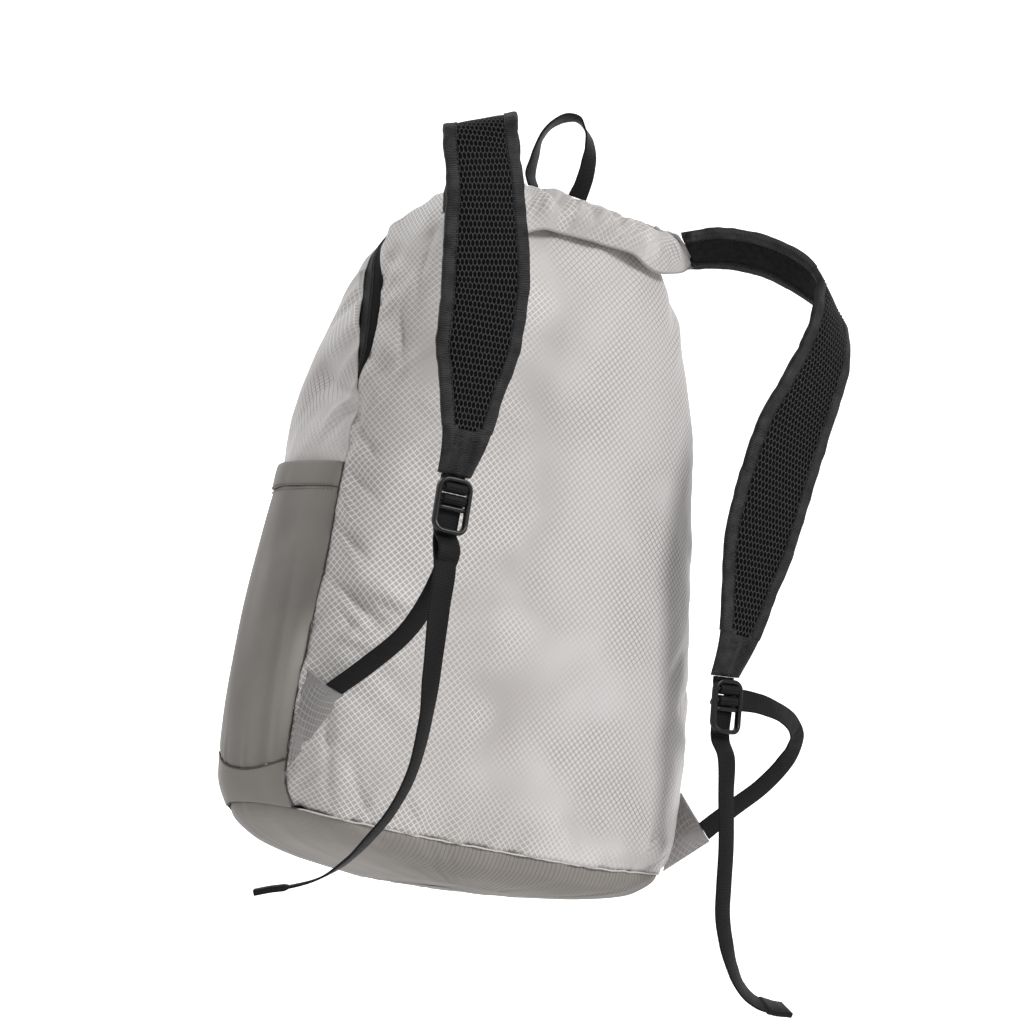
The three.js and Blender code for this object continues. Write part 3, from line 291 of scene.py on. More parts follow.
TAIL_RIGHT = [
    [0.806, -1.375, 0.235, 8, 8],
    [0.836, -1.368, 0.180, 14, 10],
    [0.872, -1.365, 0.110, 15, 10],
    [0.887, -1.365, 0.055, 15, 10],
    [0.901, -1.365, 0.013, 16, 10],
    [0.937, -1.365, -0.024, 19, 11],
    [0.992, -1.365, -0.061, 30, 17],
    [1.050, -1.365, -0.085, 41, 24],
    [1.128, -1.365, -0.100, 46, 23],
    [1.218, -1.365, -0.105, 49, 23],
    [1.296, -1.365, -0.105, 51, 22],
]
LOOP = [
    [-0.130, -0.353, 1.006, 30, 6],
    [-0.143, -0.330, 1.022, 31, 4],
    [-0.146, -0.360, 1.047, 38, 3],
    [-0.139, -0.392, 1.077, 49, 0],
    [-0.106, -0.423, 1.098, 52, -3],
    [-0.052, -0.446, 1.111, 48, -5],
    [-0.002, -0.468, 1.112, 46, -6],
    [0.037, -0.481, 1.101, 42, -6],
    [0.070, -0.481, 1.081, 31, -5],
    [0.088, -0.455, 1.056, 20, -4],
    [0.096, -0.408, 1.028, 13, 0],
    [0.092, -0.365, 1.006, 6, 0],
]
TAB_ROOT_LEFT = [0.257, 0.118]
TAB_ROOT_RIGHT = [0.186, 0.073]
STRAP_PROFILE = [
    [0.00, 0.00, 0],
    [0.25, 0.02, 0],
    [0.45, 0.45, 0],
    [0.62, 1.00, 0],
    [0.74, 0.86, 0],
    [0.86, 0.30, 0.35],
    [1.00, 0.00, 1],
]


# Curves and surfaces


def track(table, at):
    """Smooth curve through a table's rows, one array for each column after the first."""
    rows = np.asarray(table, float)
    x, y = rows[:, 0], rows[:, 1:]
    slope = np.diff(y, axis=0) / np.diff(x)[:, None]
    same = slope[:-1] * slope[1:] > 0
    m = np.zeros_like(y)
    total = np.where(same, slope[:-1] + slope[1:], 1)
    m[1:-1] = np.where(same, 2 * slope[:-1] * slope[1:] / total, 0)
    m[0], m[-1] = slope[0], slope[-1]
    at = np.clip(np.asarray(at, float), x[0], x[-1])
    i = np.clip(np.searchsorted(x, at, side="right") - 1, 0, len(x) - 2)
    span = (x[i + 1] - x[i])[..., None]
    t = (at - x[i])[..., None] / span
    h00 = 2 * t**3 - 3 * t**2 + 1
    out = h00 * y[i] + (t**3 - 2 * t**2 + t) * span * m[i]
    out += (1 - h00) * y[i + 1] + (t**3 - t**2) * span * m[i + 1]
    return np.moveaxis(out, -1, 0)


def ease(t):
    return t * t * (3 - 2 * t)


def mix(a, b, t):
    return a + (b - a) * t


def step(a, b, x):
    return ease(np.clip((np.asarray(x, float) - a) / (b - a), 0, 1))


def power(value, p):
    return np.sign(value) * np.abs(value) ** p


def unit(v):
    return v / np.maximum(np.linalg.norm(v, axis=-1, keepdims=True), 1e-12)


def bell(x):
    return np.exp(-(x**2))


def turned(a):
    """Angles brought to between minus and plus half a turn."""
    return np.where(a > np.pi, a - 2 * np.pi, a)


def run(points):
    """Length so far at each point of a line."""
    return np.concatenate([[0], np.cumsum(np.linalg.norm(np.diff(points, axis=0), axis=1))])


def sample(values, at, where):
    """A line's values at other lengths along it."""
    return np.stack([np.interp(where, at, column) for column in values.T], -1)


def noise(x, y, seed):
    """Smooth noise between -1 and 1 over a plane."""
    table = np.random.default_rng(seed).uniform(-1, 1, (97, 97))
    x, y = np.broadcast_arrays(np.asarray(x, float), np.asarray(y, float))
    i, j = np.floor(x).astype(int), np.floor(y).astype(int)
    fx, fy = ease(x - i), ease(y - j)

    def value(a, b):
        return table[a % 97, b % 97]

    low = mix(value(i, j), value(i + 1, j), fx)
    high = mix(value(i, j + 1), value(i + 1, j + 1), fx)
    return mix(low, high, fy)


def creases(u, v, angle, length, width, seed):
    """Long soft ridges that run at an angle over a surface, between -1 and 1."""
    c, s = math.cos(math.radians(angle)), math.sin(math.radians(angle))
    along, across = (u * c + v * s) / length, (v * c - u * s) / width
    bend = noise(along * 0.7, across * 0.3, seed + 7)
    return noise(along, across + 0.8 * bend, seed)


def section(h):
    wide, back, front = track(BODY, h / BAG_HEIGHT)
    half = wide * BAG_WIDTH / 2
    return half, (front - back) * BAG_DEPTH / 4, (front + back) * BAG_DEPTH / 4


def angle_of(place):
    return np.arccos(-power(np.clip(place, -1, 1), SECTION_POWER / 2))


def place_of(angle):
    return -power(np.cos(angle), 2 / SECTION_POWER)


def bag_point(h, a):
    h, a = np.broadcast_arrays(np.asarray(h, float), np.asarray(a, float))
    half, middle, deep = section(h)
    low_front = step(0.68, 0.50, h / BAG_HEIGHT) * step(0, -0.3, np.cos(a))
    share = 2 / mix(SECTION_POWER, FRONT_POWER, low_front)
    x = half * power(np.sin(a), share)
    y = middle - deep * power(np.cos(a), share)
    return np.stack([x, y, h], -1)


def bag_normal(h, a):
    low, high = np.maximum(h - 0.8, 0.02), np.minimum(h + 0.8, BAG_HEIGHT - 0.02)
    up = bag_point(high, a) - bag_point(low, a)
    along = bag_point(h, a + 0.02) - bag_point(h, a - 0.02)
    return unit(np.cross(along, up))


def fold_depth(h, a, folds):
    h, a = np.broadcast_arrays(np.asarray(h, float), np.asarray(a, float))
    x, y = h / BAG_HEIGHT, np.abs(a) / np.pi
    total = np.zeros(h.shape)
    for side, h0, p0, h1, p1, half, depth in folds:
        dx, dy = h1 - h0, p1 - p0
        t = np.clip(((x - h0) * dx + (y - p0) * dy) / (dx * dx + dy * dy), 0, 1)
        away = np.hypot(x - h0 - t * dx, y - p0 - t * dy)
        push = depth * bell(away / half) * (0.5 + 0.5 * np.sin(np.pi * t))
        total += np.where(side * a > 0, push, 0)
    return total * BAG_DEPTH / 2


def cloth_point(h, a, out):
    lift = out - fold_depth(h, a, FOLDS)
    return bag_point(h, a) + bag_normal(h, a) * np.asarray(lift)[..., None]


LOWER_ROWS, POCKET_ROWS, UPPER_ROWS, TOP_ROWS = 2, 6, 3, 9
HEM_ROW = LOWER_ROWS + POCKET_ROWS
POCKET_TOP_ROW = HEM_ROW + 1
ZIP_ROW = POCKET_TOP_ROW + UPPER_ROWS
LAST_ROW = ZIP_ROW + TOP_ROWS


def base_seam(place):
    return mix(BASE_SEAM_SIDE, BASE_SEAM_BACK, place * place)


def pocket_seam(place):
    p = np.clip(place, -POCKET_REACH, POCKET_REACH)
    return POCKET_SEAM + POCKET_SMILE * (p / POCKET_REACH) ** 2


def row_height(row, place):
    row, place = np.broadcast_arrays(np.asarray(row, float), np.asarray(place, float))
    low, hem = pocket_seam(place), POCKET_TOP - POCKET_HEM
    t = np.clip((row - ZIP_ROW) / TOP_ROWS, 0, 1)
    return np.select(
        [row <= LOWER_ROWS, row <= HEM_ROW, row <= POCKET_TOP_ROW, row <= ZIP_ROW],
        [
            mix(base_seam(place), low, row / LOWER_ROWS),
            mix(low, hem, (row - LOWER_ROWS) / POCKET_ROWS),
            mix(hem, POCKET_TOP, row - HEM_ROW),
            mix(POCKET_TOP, ZIP_END, (row - POCKET_TOP_ROW) / UPPER_ROWS),
        ],
        mix(ZIP_END, BAG_HEIGHT, 1 - (1 - t) ** 2.2),
    )


def seam_angles(row):
    place, slot = track(SEAM, row_height(row, -0.5) / BAG_HEIGHT)
    half = np.maximum(slot * ZIP_SLOT / 2, GAP / 2)
    share = half / section(row_height(row, place))[2]
    return angle_of(place - share), angle_of(place + share), place


def even_angles(h, start, end, cells):
    """Angles that cut an arc of each row's section into equal lengths."""
    a = mix(start[:, None], end[:, None], np.linspace(0, 1, 121))
    lengths = [run(line) for line in bag_point(h[:, None], a)]
    want = np.linspace(0, 1, cells + 1)
    return np.stack([np.interp(want * n[-1], n, b) for n, b in zip(lengths, a)])


def grid_point(a, row, out):
    a = turned(a)
    return cloth_point(row_height(row, place_of(a)), a, out)


def catmull(points, t):
    """Points of a centripetal curve through the given ones, t from 0 to their number less 1."""
    p = np.asarray(points, float)
    p = np.concatenate([[2 * p[0] - p[1]], p, [2 * p[-1] - p[-2]]])
    t = np.clip(np.asarray(t, float), 0, len(p) - 3)
    i = np.clip(np.floor(t).astype(int), 0, len(p) - 4)
    w = (t - i)[..., None]
    p0, p1, p2, p3 = p[i], p[i + 1], p[i + 2], p[i + 3]

    def gap(a, b):
        return np.maximum(((a - b) ** 2).sum(-1, keepdims=True) ** 0.25, 1e-6)

    d0, d1, d2 = gap(p0, p1), gap(p1, p2), gap(p2, p3)
    m1 = ((p1 - p0) / d0 - (p2 - p0) / (d0 + d1) + (p2 - p1) / d1) * d1
    m2 = ((p2 - p1) / d1 - (p3 - p1) / (d1 + d2) + (p3 - p2) / d2) * d1
    h00 = 2 * w**3 - 3 * w**2 + 1
    return h00 * p1 + (w**3 - 2 * w**2 + w) * m1 + (1 - h00) * p2 + (w**3 - w**2) * m2


class Route:
    """Frames along a smooth route: points, forward, wide and face directions, length so far."""

    def __init__(self, points, wides, spacing):
        points, wides = np.asarray(points, float), np.asarray(wides, float)
        gaps = np.linalg.norm(np.diff(points, axis=0), axis=1)
        cells = np.maximum(np.ceil(gaps / spacing).astype(int), 3)
        t = [k + np.arange(n) / n for k, n in enumerate(cells)]
        t = np.concatenate(t + [[len(points) - 1.0]])
        self.point = catmull(points, t)
        ahead = catmull(points, t + 1e-3) - catmull(points, t - 1e-3)
        self.forward = unit(ahead)
        low = np.minimum(np.floor(t).astype(int), len(points) - 2)
        wide = mix(wides[low], wides[low + 1], ease(t - low)[:, None])
        wide -= self.forward * (wide * self.forward).sum(-1, keepdims=True)
        self.wide = unit(wide)
        self.face = unit(np.cross(self.forward, self.wide))
        self.at = run(self.point)
        self.total = self.at[-1]

    def cut(self, first, last):
        """The stretch of the route between two of its frames."""
        part = copy.copy(self)
        for name in ("point", "forward", "wide", "face", "at"):
            setattr(part, name, getattr(self, name)[first:last])
        return part

    def rings(self, w, f):
        """Rings of points from reaches across and levels of face, each one row per frame."""
        across = self.wide[:, None] * w[..., None]
        return self.point[:, None] + across + self.face[:, None] * f[..., None]


def stations(rows):
    rows = np.asarray(rows, float)
    size = np.array([BAG_WIDTH / 2, BAG_DEPTH / 2, BAG_HEIGHT])
    h, r = np.radians(rows[:, 3]), np.radians(rows[:, 4])
    wide = np.stack([np.cos(r) * np.cos(h), np.cos(r) * np.sin(h), np.sin(r)], -1)
    return rows[:, :3] * size, wide


# Meshes


def stand(name, data):
    obj = bpy.data.objects.new(name, data)
    bpy.context.scene.collection.objects.link(obj)
    return obj


def put(name, points, faces, weave, slot, material):
    """A mesh piece from points in millimetres. weave gives each point its place on the cloth."""
    mesh = bpy.data.meshes.new(name)
    mesh.from_pydata(((points - HANG) / 1000).tolist(), [], faces)
    mesh.update()
    layer = mesh.attributes.new("weave", "FLOAT_VECTOR", "POINT")
    layer.data.foreach_set("vector", np.asarray(weave, np.float32).ravel())
    mesh.polygons.foreach_set("use_smooth", [True] * len(mesh.polygons))
    mesh.materials.append(material)
    obj = stand(name, mesh)
    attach(obj, "root")
    return obj


def grid_faces(rows, columns, wrap=False, closed=False):
    """Faces of a grid of points. Its rows wrap round, and its last row may join the first."""
    j, i = np.meshgrid(np.arange(rows - (not closed)), np.arange(columns - (not wrap)),
                       indexing="ij")
    k, m = (i + 1) % columns, (j + 1) % rows
    quads = [j * columns + i, j * columns + k, m * columns + k, m * columns + i]
    return np.stack(quads, -1).reshape(-1, 4).tolist()


def arc_weave(points):
    """Cloth coordinates in millimetres over a grid: along each row from its middle, and up."""
    middle = points.shape[1] // 2
    u = np.stack([run(row) for row in points])
    u -= u[:, middle:middle + 1]
    v = run(points[:, middle])[:, None]
    return np.stack(np.broadcast_arrays(u, v, 0.0), -1)


def wall(piece, thickness):
    solid = piece.modifiers.new("wall", "SOLIDIFY")
    solid.thickness = thickness / 1000
    solid.offset = -1


def sheet(name, points, thickness, weave, **look):
    """A cloth sheet from a grid of points, made solid inwards."""
    faces = grid_faces(*points.shape[:2])
    piece = put(name, points.reshape(-1, 3), faces, weave.reshape(-1, 3), **look)
    wall(piece, thickness)
    return piece


def outward(points, faces):
    """The faces of a closed solid, turned to face out."""
    a, b, c = (points[[face[k] for face in faces]] - points.mean(0) for k in range(3))
    inward = np.einsum("ij,ij->i", a, np.cross(b, c)).sum() < 0
    return [face[::-1] for face in faces] if inward else faces


def swept(ring_sets, weave_sets):
    """Points, faces and weave of closed solids, each swept through rings of points."""
    points, faces, start = [], [], 0
    for rings in ring_sets:
        n, s = rings.shape[:2]
        part = grid_faces(n, s, wrap=True)
        part += [list(range(s))[::-1], [(n - 1) * s + i for i in range(s)]]
        flat = rings.reshape(-1, 3)
        faces += [[i + start for i in face] for face in outward(flat, part)]
        points.append(flat)
        start += n * s
    weave = np.concatenate([w.reshape(-1, 3) for w in weave_sets])
    return np.concatenate(points), faces, weave


def rounded(width, thickness, corner, arc=4):
    """Reaches and levels of a rounded flat section, counted round it."""
    x, y = width / 2 - corner, thickness / 2 - corner
    ring = []
    for cx, cy, start in ((x, y, 0), (-x, y, 90), (-x, -y, 180), (x, -y, 270)):
        for k in range(arc):
            t = math.radians(start + 90 * k / (arc - 1))
            ring.append((cx + corner * math.cos(t), cy + corner * math.sin(t)))
    return np.array(ring)


def ribbon(name, route, width, thickness, **look):
    """Flat webbing along a route; width and thickness may change from frame to frame."""
    n = len(route.at)
    thickness = np.broadcast_to(thickness, n)
    base = rounded(width, 1.0, 0.35)
    w = np.broadcast_to(base[:, 0], (n, len(base)))
    f = base[None, :, 1] * thickness[:, None]
    v = np.broadcast_to(route.at[:, None], w.shape)
    weave = np.stack([w, v, np.sign(f)], -1)
    points, faces, weave = swept([route.rings(w, f)], [weave])
    return put(name, points, faces, weave, **look)


# One thread: share of its length, size of its section and lift at each of four rings.
THREAD = [[0, 0.35, 0], [0.3, 1, 0.3], [0.7, 1, 0.3], [1, 0.35, 0]]
THREAD_HEIGHT = 0.6


def stitches(name, lines, length, pitch, width, **look):
    """Rows of threads. Each line is points along it and the outward direction at each."""
    threads = []
    for line, out in lines:
        at = run(line)
        for start in np.arange(pitch / 2, at[-1] - length, pitch):
            first, last = sample(line, at, start), sample(line, at, start + length)
            up = unit(sample(out, at, start))
            side = unit(np.cross(unit(last - first), up)) * width / 2
            rise = up * THREAD_HEIGHT / 2
            threads.append(np.array([
                [mix(first, last, share) + up * lift + (side * c + rise * s) * size
                 for c, s in ((1, 0), (0, 1), (-1, 0), (0, -1))]
                for share, size, lift in THREAD]))
    points, faces, weave = swept(threads, [0 * thread for thread in threads])
    return put(name, points, faces, weave, **look)


def tube(name, line, radius, sides=8, **look):
    """Round cord along a line of points."""
    ahead = unit(np.gradient(line, axis=0))
    side = unit(np.cross(ahead, [0.03, 0.02, 1.0]))
    up = np.cross(side, ahead)
    t = np.linspace(0, 2 * np.pi, sides, endpoint=False)
    radius = np.broadcast_to(radius, len(line))[:, None, None]
    ring = side[:, None] * np.cos(t)[:, None] + up[:, None] * np.sin(t)[:, None]
    around = np.broadcast_to(t * radius.max(), ring.shape[:2])
    at = np.broadcast_to(run(line)[:, None], around.shape)
    weave = np.stack([around, at, 0 * at], -1)
    points, faces, weave = swept([line[:, None] + ring * radius], [weave])
    return put(name, points, faces, weave, **look)


# Materials


def rgb(r, g, b):
    """Scene colour of a display colour given from 0 to 255."""
    parts = [c / 255 for c in (r, g, b)]
    return [c / 12.92 if c < 0.04045 else ((c + 0.055) / 1.055) ** 2.4 for c in parts] + [1]


class Look:
    """A node material, built up from the cloth coordinates that the pieces carry."""

    def __init__(self, name, roughness, specular=0.3, sheen=0.0):
        self.material = bpy.data.materials.new(name)
        self.material.use_nodes = True
        self.tree = self.material.node_tree
        self.shader = self.tree.nodes["Principled BSDF"]
        for socket, value in (("Roughness", roughness), ("Specular IOR Level", specular),
                              ("Sheen Weight", sheen), ("Sheen Roughness", 0.4)):
            self.shader.inputs[socket].default_value = value
        weave = self.add("ShaderNodeAttribute")
        weave.attribute_name = "weave"
        parts = self.add("ShaderNodeSeparateXYZ", Vector=weave.outputs["Vector"])
        self.u, self.v, self.w = parts.outputs
        self.place = self.add("ShaderNodeTexCoord").outputs["Object"]

    def add(self, kind, **inputs):
        node = self.tree.nodes.new(kind)
        for name, value in inputs.items():
            self.feed(node.inputs[name], value)
        return node

    def feed(self, socket, value):
        if isinstance(value, bpy.types.NodeSocket):
            self.tree.links.new(value, socket)
        else:
            socket.default_value = value

    def math(self, operation, *values):
        node = self.add("ShaderNodeMath")
        node.operation = operation
        for socket, value in zip(node.inputs, values):
            self.feed(socket, value)
        return node.outputs[0]

    def plus(self, a, b):
        return self.math("ADD", a, b)

    def minus(self, a, b):
        return self.math("SUBTRACT", a, b)

    def times(self, a, b):
        return self.math("MULTIPLY", a, b)

    def ramp(self, value, low, high, start=0.0, end=1.0):
        node = self.add("ShaderNodeMapRange")
        node.interpolation_type = "SMOOTHSTEP"
        for socket, x in zip(node.inputs, (value, low, high, start, end)):
            self.feed(socket, x)
        return node.outputs[0]

    def blend(self, share, a, b):
        node = self.add("ShaderNodeMix")
        node.data_type = "RGBA"
        for socket, value in ((node.inputs[0], share), (node.inputs[6], a), (node.inputs[7], b)):
            self.feed(socket, value)
        return node.outputs[2]

    def noise(self, scale, detail=2.0, at=None):
        node = self.add("ShaderNodeTexNoise", Vector=at or self.place, Scale=scale,
                        Detail=detail)
        return node.outputs[0]

    def threads(self, value, pitch):
        """Distance from the nearest thread, 0 on it and 0.5 halfway to the next."""
        return self.math("PINGPONG", self.math("DIVIDE", value, pitch), 0.5)

    def finish(self, colour, height=None, bump=0.3, depth=0.0003, rough=None):
        self.feed(self.shader.inputs["Base Color"], colour)
        if rough is not None:
            self.feed(self.shader.inputs["Roughness"], rough)
        if height is not None:
            node = self.add("ShaderNodeBump", Height=height, Strength=bump, Distance=depth)
            self.feed(self.shader.inputs["Normal"], node.outputs[0])
        return self.material


# A colour made darker or lighter by a share, for painted shade and painted highlight.
def shaded(colour, share):
    return [c * share for c in colour[:3]] + [1]


def ripstop_look(name, shade=1.0):
    """Thin cloth with a diamond grid of thicker threads, pale or dark by place: the pale threads
    are a painted highlight, and the ground under them is painted darker as shade.
    """
    look = Look(name, 0.5, 0.3, 0.1)
    wander = look.times(look.noise(28), 0.3)
    a = look.plus(look.math("DIVIDE", look.u, CELL_WIDTH), wander)
    b = look.plus(look.math("DIVIDE", look.v, CELL_HEIGHT), wander)
    one, two = (look.threads(way, 1) for way in (look.plus(a, b), look.minus(a, b)))
    nearest = look.math("MINIMUM", one, two)
    thread = look.ramp(nearest, 0.12, 0.05)
    # Painted light: where the weave mask and these patches are high, the threads get a painted
    # highlight and the ground between them painted shade.
    patch = look.times(look.minus(look.noise(13, 2), 0.5), 1.8)
    pale = look.ramp(look.plus(look.w, patch), 0.15, 0.85)
    line = look.blend(pale, shaded(rgb(118, 113, 110), shade), shaded(rgb(244, 243, 242), shade))
    # Ground between the threads: painted darker as shade where the threads are painted pale.
    ground = look.blend(look.ramp(look.w, 0.1, 0.9), shaded(rgb(208, 204, 203), shade),
                        shaded(rgb(176, 171, 168), shade))
    weft, warp = (look.times(look.threads(way, 0.9), 0.3) for way in (look.u, look.v))
    fade = look.ramp(look.noise(11, 2), 0.35, 0.65, 0.5, 0.85)
    colour = look.blend(look.times(thread, fade), ground, line)
    height = look.plus(thread, look.plus(weft, warp))
    return look.finish(colour, height, 0.35, 0.0003, look.ramp(thread, 0.0, 1.0, 0.5, 0.36))


def smooth_cloth(name, low, high, rib_pitch=0):
    """Plain cloth with a faint nap. Without ribs, the weave mask paints a paler colour as a
    highlight; with ribs, it says where they show, and their grooves are painted darker as shade.
    """
    look = Look(name, 0.62, 0.25, 0.15)
    nap = look.noise(900, 3)
    colour = look.blend(look.ramp(look.noise(14, 4), 0.3, 0.7), low, high)
    if not rib_pitch:
        # Painted highlight: paler where the weave mask is high.
        return look.finish(look.blend(look.w, colour, shaded(high, 1.5)), nap, 0.25, 0.0002)
    rib = look.times(look.ramp(look.threads(look.u, rib_pitch), 0.04, 0.2, 1.0, 0.0), look.w)
    # Rib grooves painted darker as shade.
    colour = look.blend(look.times(rib, 0.55), colour, shaded(low, 0.5))
    return look.finish(colour, look.minus(look.times(nap, 0.4), rib), 0.25, 0.0002)


def webbing_look(name, pitch=1.3):
    """Flat woven webbing: fine ribs across, in pairs, with a little shine; the grooves between
    ribs are painted darker as shade.
    """
    look = Look(name, 0.55, 0.12)
    rib = look.threads(look.v, pitch)
    cord = look.threads(look.plus(look.u, look.times(rib, 0.8)), 1.7)
    height = look.plus(look.times(rib, 1.6), look.times(cord, 0.5))
    height = look.plus(height, look.times(look.noise(700, 2), 0.3))
    # Painted shade: the colour follows the height, darker in the grooves between ribs.
    shade = look.plus(look.times(rib, 1.1), look.times(cord, 0.7))
    colour = look.blend(look.ramp(shade, 0.1, 0.8), rgb(9, 9, 10), rgb(34, 34, 36))
    return look.finish(colour, height, 0.5, 0.0004)


def binding_look():
    """Woven binding tape: fine ribs across its length with painted shade in their grooves, and
    lighter raised ridges.
    """
    look = Look("binding_tape", 0.6, 0.12)
    rib = look.threads(look.plus(look.v, look.times(look.noise(160), 3.0)), 1.2)
    ridge_noise = look.noise(120, 4)
    # The colour follows the height: the rib grooves painted darker as shade, the raised ridges
    # lighter.
    shade = look.plus(look.times(rib, 0.9), look.times(ridge_noise, 0.8))
    colour = look.blend(look.ramp(shade, 0.3, 0.95), rgb(24, 24, 25), rgb(62, 62, 63))
    height = look.plus(look.times(rib, 0.8), look.times(ridge_noise, 1.2))
    return look.finish(colour, height, 0.5, 0.0004)


def mesh_look():
    """Spacer mesh: rows of tall holes, each row set half a hole over from the last, the holes
    painted near black as shade.
    """
    look = Look("spacer_mesh", 0.7, 0.08)
    row = look.math("DIVIDE", look.v, MESH_HOLE_HEIGHT)
    odd = look.times(look.math("MODULO", look.math("FLOOR", row), 2.0), 0.5)
    across = look.plus(look.math("DIVIDE", look.u, MESH_HOLE_WIDTH), odd)
    x = look.times(look.minus(look.math("FRACT", across), 0.5), 1.12)
    y = look.times(look.minus(look.math("FRACT", row), 0.5), 0.9)
    far = look.math("SQRT", look.plus(look.times(x, x), look.times(y, y)))
    net = look.ramp(far, 0.39, 0.52)
    yarn = look.blend(look.noise(900, 2), rgb(34, 34, 35), rgb(84, 84, 85))
    # Painted shade: the holes are painted near black.
    top = look.blend(net, rgb(3, 3, 4), yarn)
    under = look.blend(look.ramp(look.noise(240, 4), 0.3, 0.7), rgb(14, 14, 15), rgb(26, 26, 27))
    colour = look.blend(look.ramp(look.w, 0.4, 0.6), under, top)
    return look.finish(colour, look.times(net, look.w), 0.9, 0.0008)


def plastic_look():
    """Moulded plastic with a fine grain and a tone that varies a little at random."""
    look = Look("moulded_plastic", 0.36, 0.4)
    grain = look.noise(1400, 2)
    colour = look.blend(look.ramp(look.noise(90, 3), 0.3, 0.7), rgb(12, 12, 13), rgb(22, 22, 23))
    return look.finish(colour, grain, 0.12, 0.0001, look.ramp(grain, 0.2, 0.8, 0.28, 0.42))


def thread_look(name, low, high):
    look = Look(name, 0.6, 0.25)
    colour = look.blend(look.noise(1200, 2), low, high)
    return look.finish(colour, look.noise(1500), 0.3, 0.0002)


RIPSTOP = ripstop_look("ripstop")
# Darker copy of the ripstop for the corner tabs: painted shade.
RIPSTOP_SHADED_TAB = ripstop_look("ripstop_tab_painted_shade", 0.52)
POCKET = smooth_cloth("stretch_cloth", rgb(124, 120, 116), rgb(138, 134, 129))
BASE = smooth_cloth("ribbed_base", rgb(130, 126, 121), rgb(144, 139, 134), RIB_PITCH)
WEBBING = webbing_look("webbing")
ZIP_TAPE = webbing_look("zip_tape", 0.9)
BINDING = binding_look()
MESH = mesh_look()
PLASTIC = plastic_look()
BLACK_THREAD = thread_look("black_thread", rgb(16, 16, 17), rgb(52, 52, 53))
GREY_THREAD = thread_look("grey_thread", rgb(96, 92, 88), rgb(128, 123, 118))
PIPING = thread_look("seam_piping", rgb(186, 182, 178), rgb(222, 219, 216))
SEAM_EDGE = thread_look("seam_edge", rgb(150, 146, 142), rgb(182, 178, 174))
# Dark cord laid along seams as a painted shadow.
SEAM_SHADOW = thread_look("seam_shadow", rgb(58, 54, 51), rgb(96, 91, 87))


# The bag's shell

SIDES = ((-1, "left"), (1, "right"))

# Grid lines of the shell: first row, last row and how many lines from one to the other.
ROW_LINES = [
    [0, LOWER_ROWS, 13],
    [LOWER_ROWS, HEM_ROW, 70],
    [HEM_ROW, POCKET_TOP_ROW, 8],
    [POCKET_TOP_ROW, ZIP_ROW, 26],
    [ZIP_ROW, LAST_ROW, 84],
]
ROWS = np.concatenate([np.linspace(a, b, n)[:-1] for a, b, n in ROW_LINES] + [[LAST_ROW]])
BACK_ANGLE, FRONT_ANGLE = seam_angles(ROWS)[:2]
SIDE_SHARE = (angle_of(POCKET_REACH) - angle_of(LOW_SEAM)) / (np.pi - angle_of(LOW_SEAM))
BASE_CELLS = 360

# Bands of cloth on the sides: first row, last row and how many lines.
LOWER_BAND = (0, 1.98, 16)
POCKET_BAND = (2.02, 8.0, 96)
HEM_BAND = (8.02, 9.0, 14)
BACK_FOLD_GAIN = 2.2

# Creases of the panels: where, depth, angle, length, width and seed.
BACK_CREASES = [
    ["sides", 4.2, -32, 44, 12, 3],
    ["edges", 2.2, 52, 24, 7, 5],
    ["low", 2.6, 80, 34, 9, 11],
    ["top", 2.0, 62, 60, 14, 17],
    ["all", 0.8, 20, 170, 80, 23],
]
FRONT_CREASES = [
    ["seam", 3.6, 62, 44, 10, 53],
    ["all", 1.5, 75, 90, 32, 59],
    ["low", 1.2, 88, 26, 9, 61],
    ["all", 2.0, -12, 150, 60, 67],
]


def creased(u, v, masks, rows):
    """A panel's creases together, each within its mask."""
    return sum(masks[where] * depth * creases(u, v, *lines) for where, depth, *lines in rows)


def shell_grid(angles, out):
    return grid_point(angles, ROWS[:, None], out)


def edge_distance(points):
    """How far each grid point is along its row from the row's two ends."""
    left = np.stack([run(row) for row in points])
    return left, left[:, -1:] - left


def back_panel():
    angles = even_angles(row_height(ROWS, -1), -BACK_ANGLE, BACK_ANGLE, 150)
    plain = shell_grid(angles, 0.0)
    weave = arc_weave(plain)
    u, v = weave[..., 0], weave[..., 1]
    left, right = edge_distance(plain)
    near = np.minimum(left, right)
    h = plain[..., 2]
    edges = np.exp(-left / 42) + 0.35 * np.exp(-right / 34)
    middle = step(330, 250, h) * step(60, 110, h)
    low = step(75, 24, h)
    masks = {"edges": edges, "sides": edges * (0.5 + 0.5 * middle), "low": low,
             "top": step(300, 400, h), "all": 1}
    out = creased(u, v, masks, BACK_CREASES) - 1.4 * bell(near / SEAM_PINCH)
    out += 0.25 * noise(u / 7, v / 9, 29)
    out *= np.clip(near / 3, 0.25, 1)
    out -= BACK_FOLD_GAIN * fold_depth(h, turned(angles), FINE_FOLDS)
    # Weave mask for painted light: pale threads as painted highlight and darker ground as
    # painted shade, strongest where u is below -70 mm and near the bottom middle, with patches.
    pale = step(40, -70, u) * 0.75 + 0.35 * low * step(150, 90, np.abs(u)) + 0.1
    weave[..., 2] = np.clip(pale + 0.2 * creases(u, v, 30, 80, 30, 41), 0, 1)
    piece = sheet("back_panel_cloth", shell_grid(angles, out), CLOTH_WALL, weave,
                  slot="ripstop", material=RIPSTOP)
    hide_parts("back_panel")


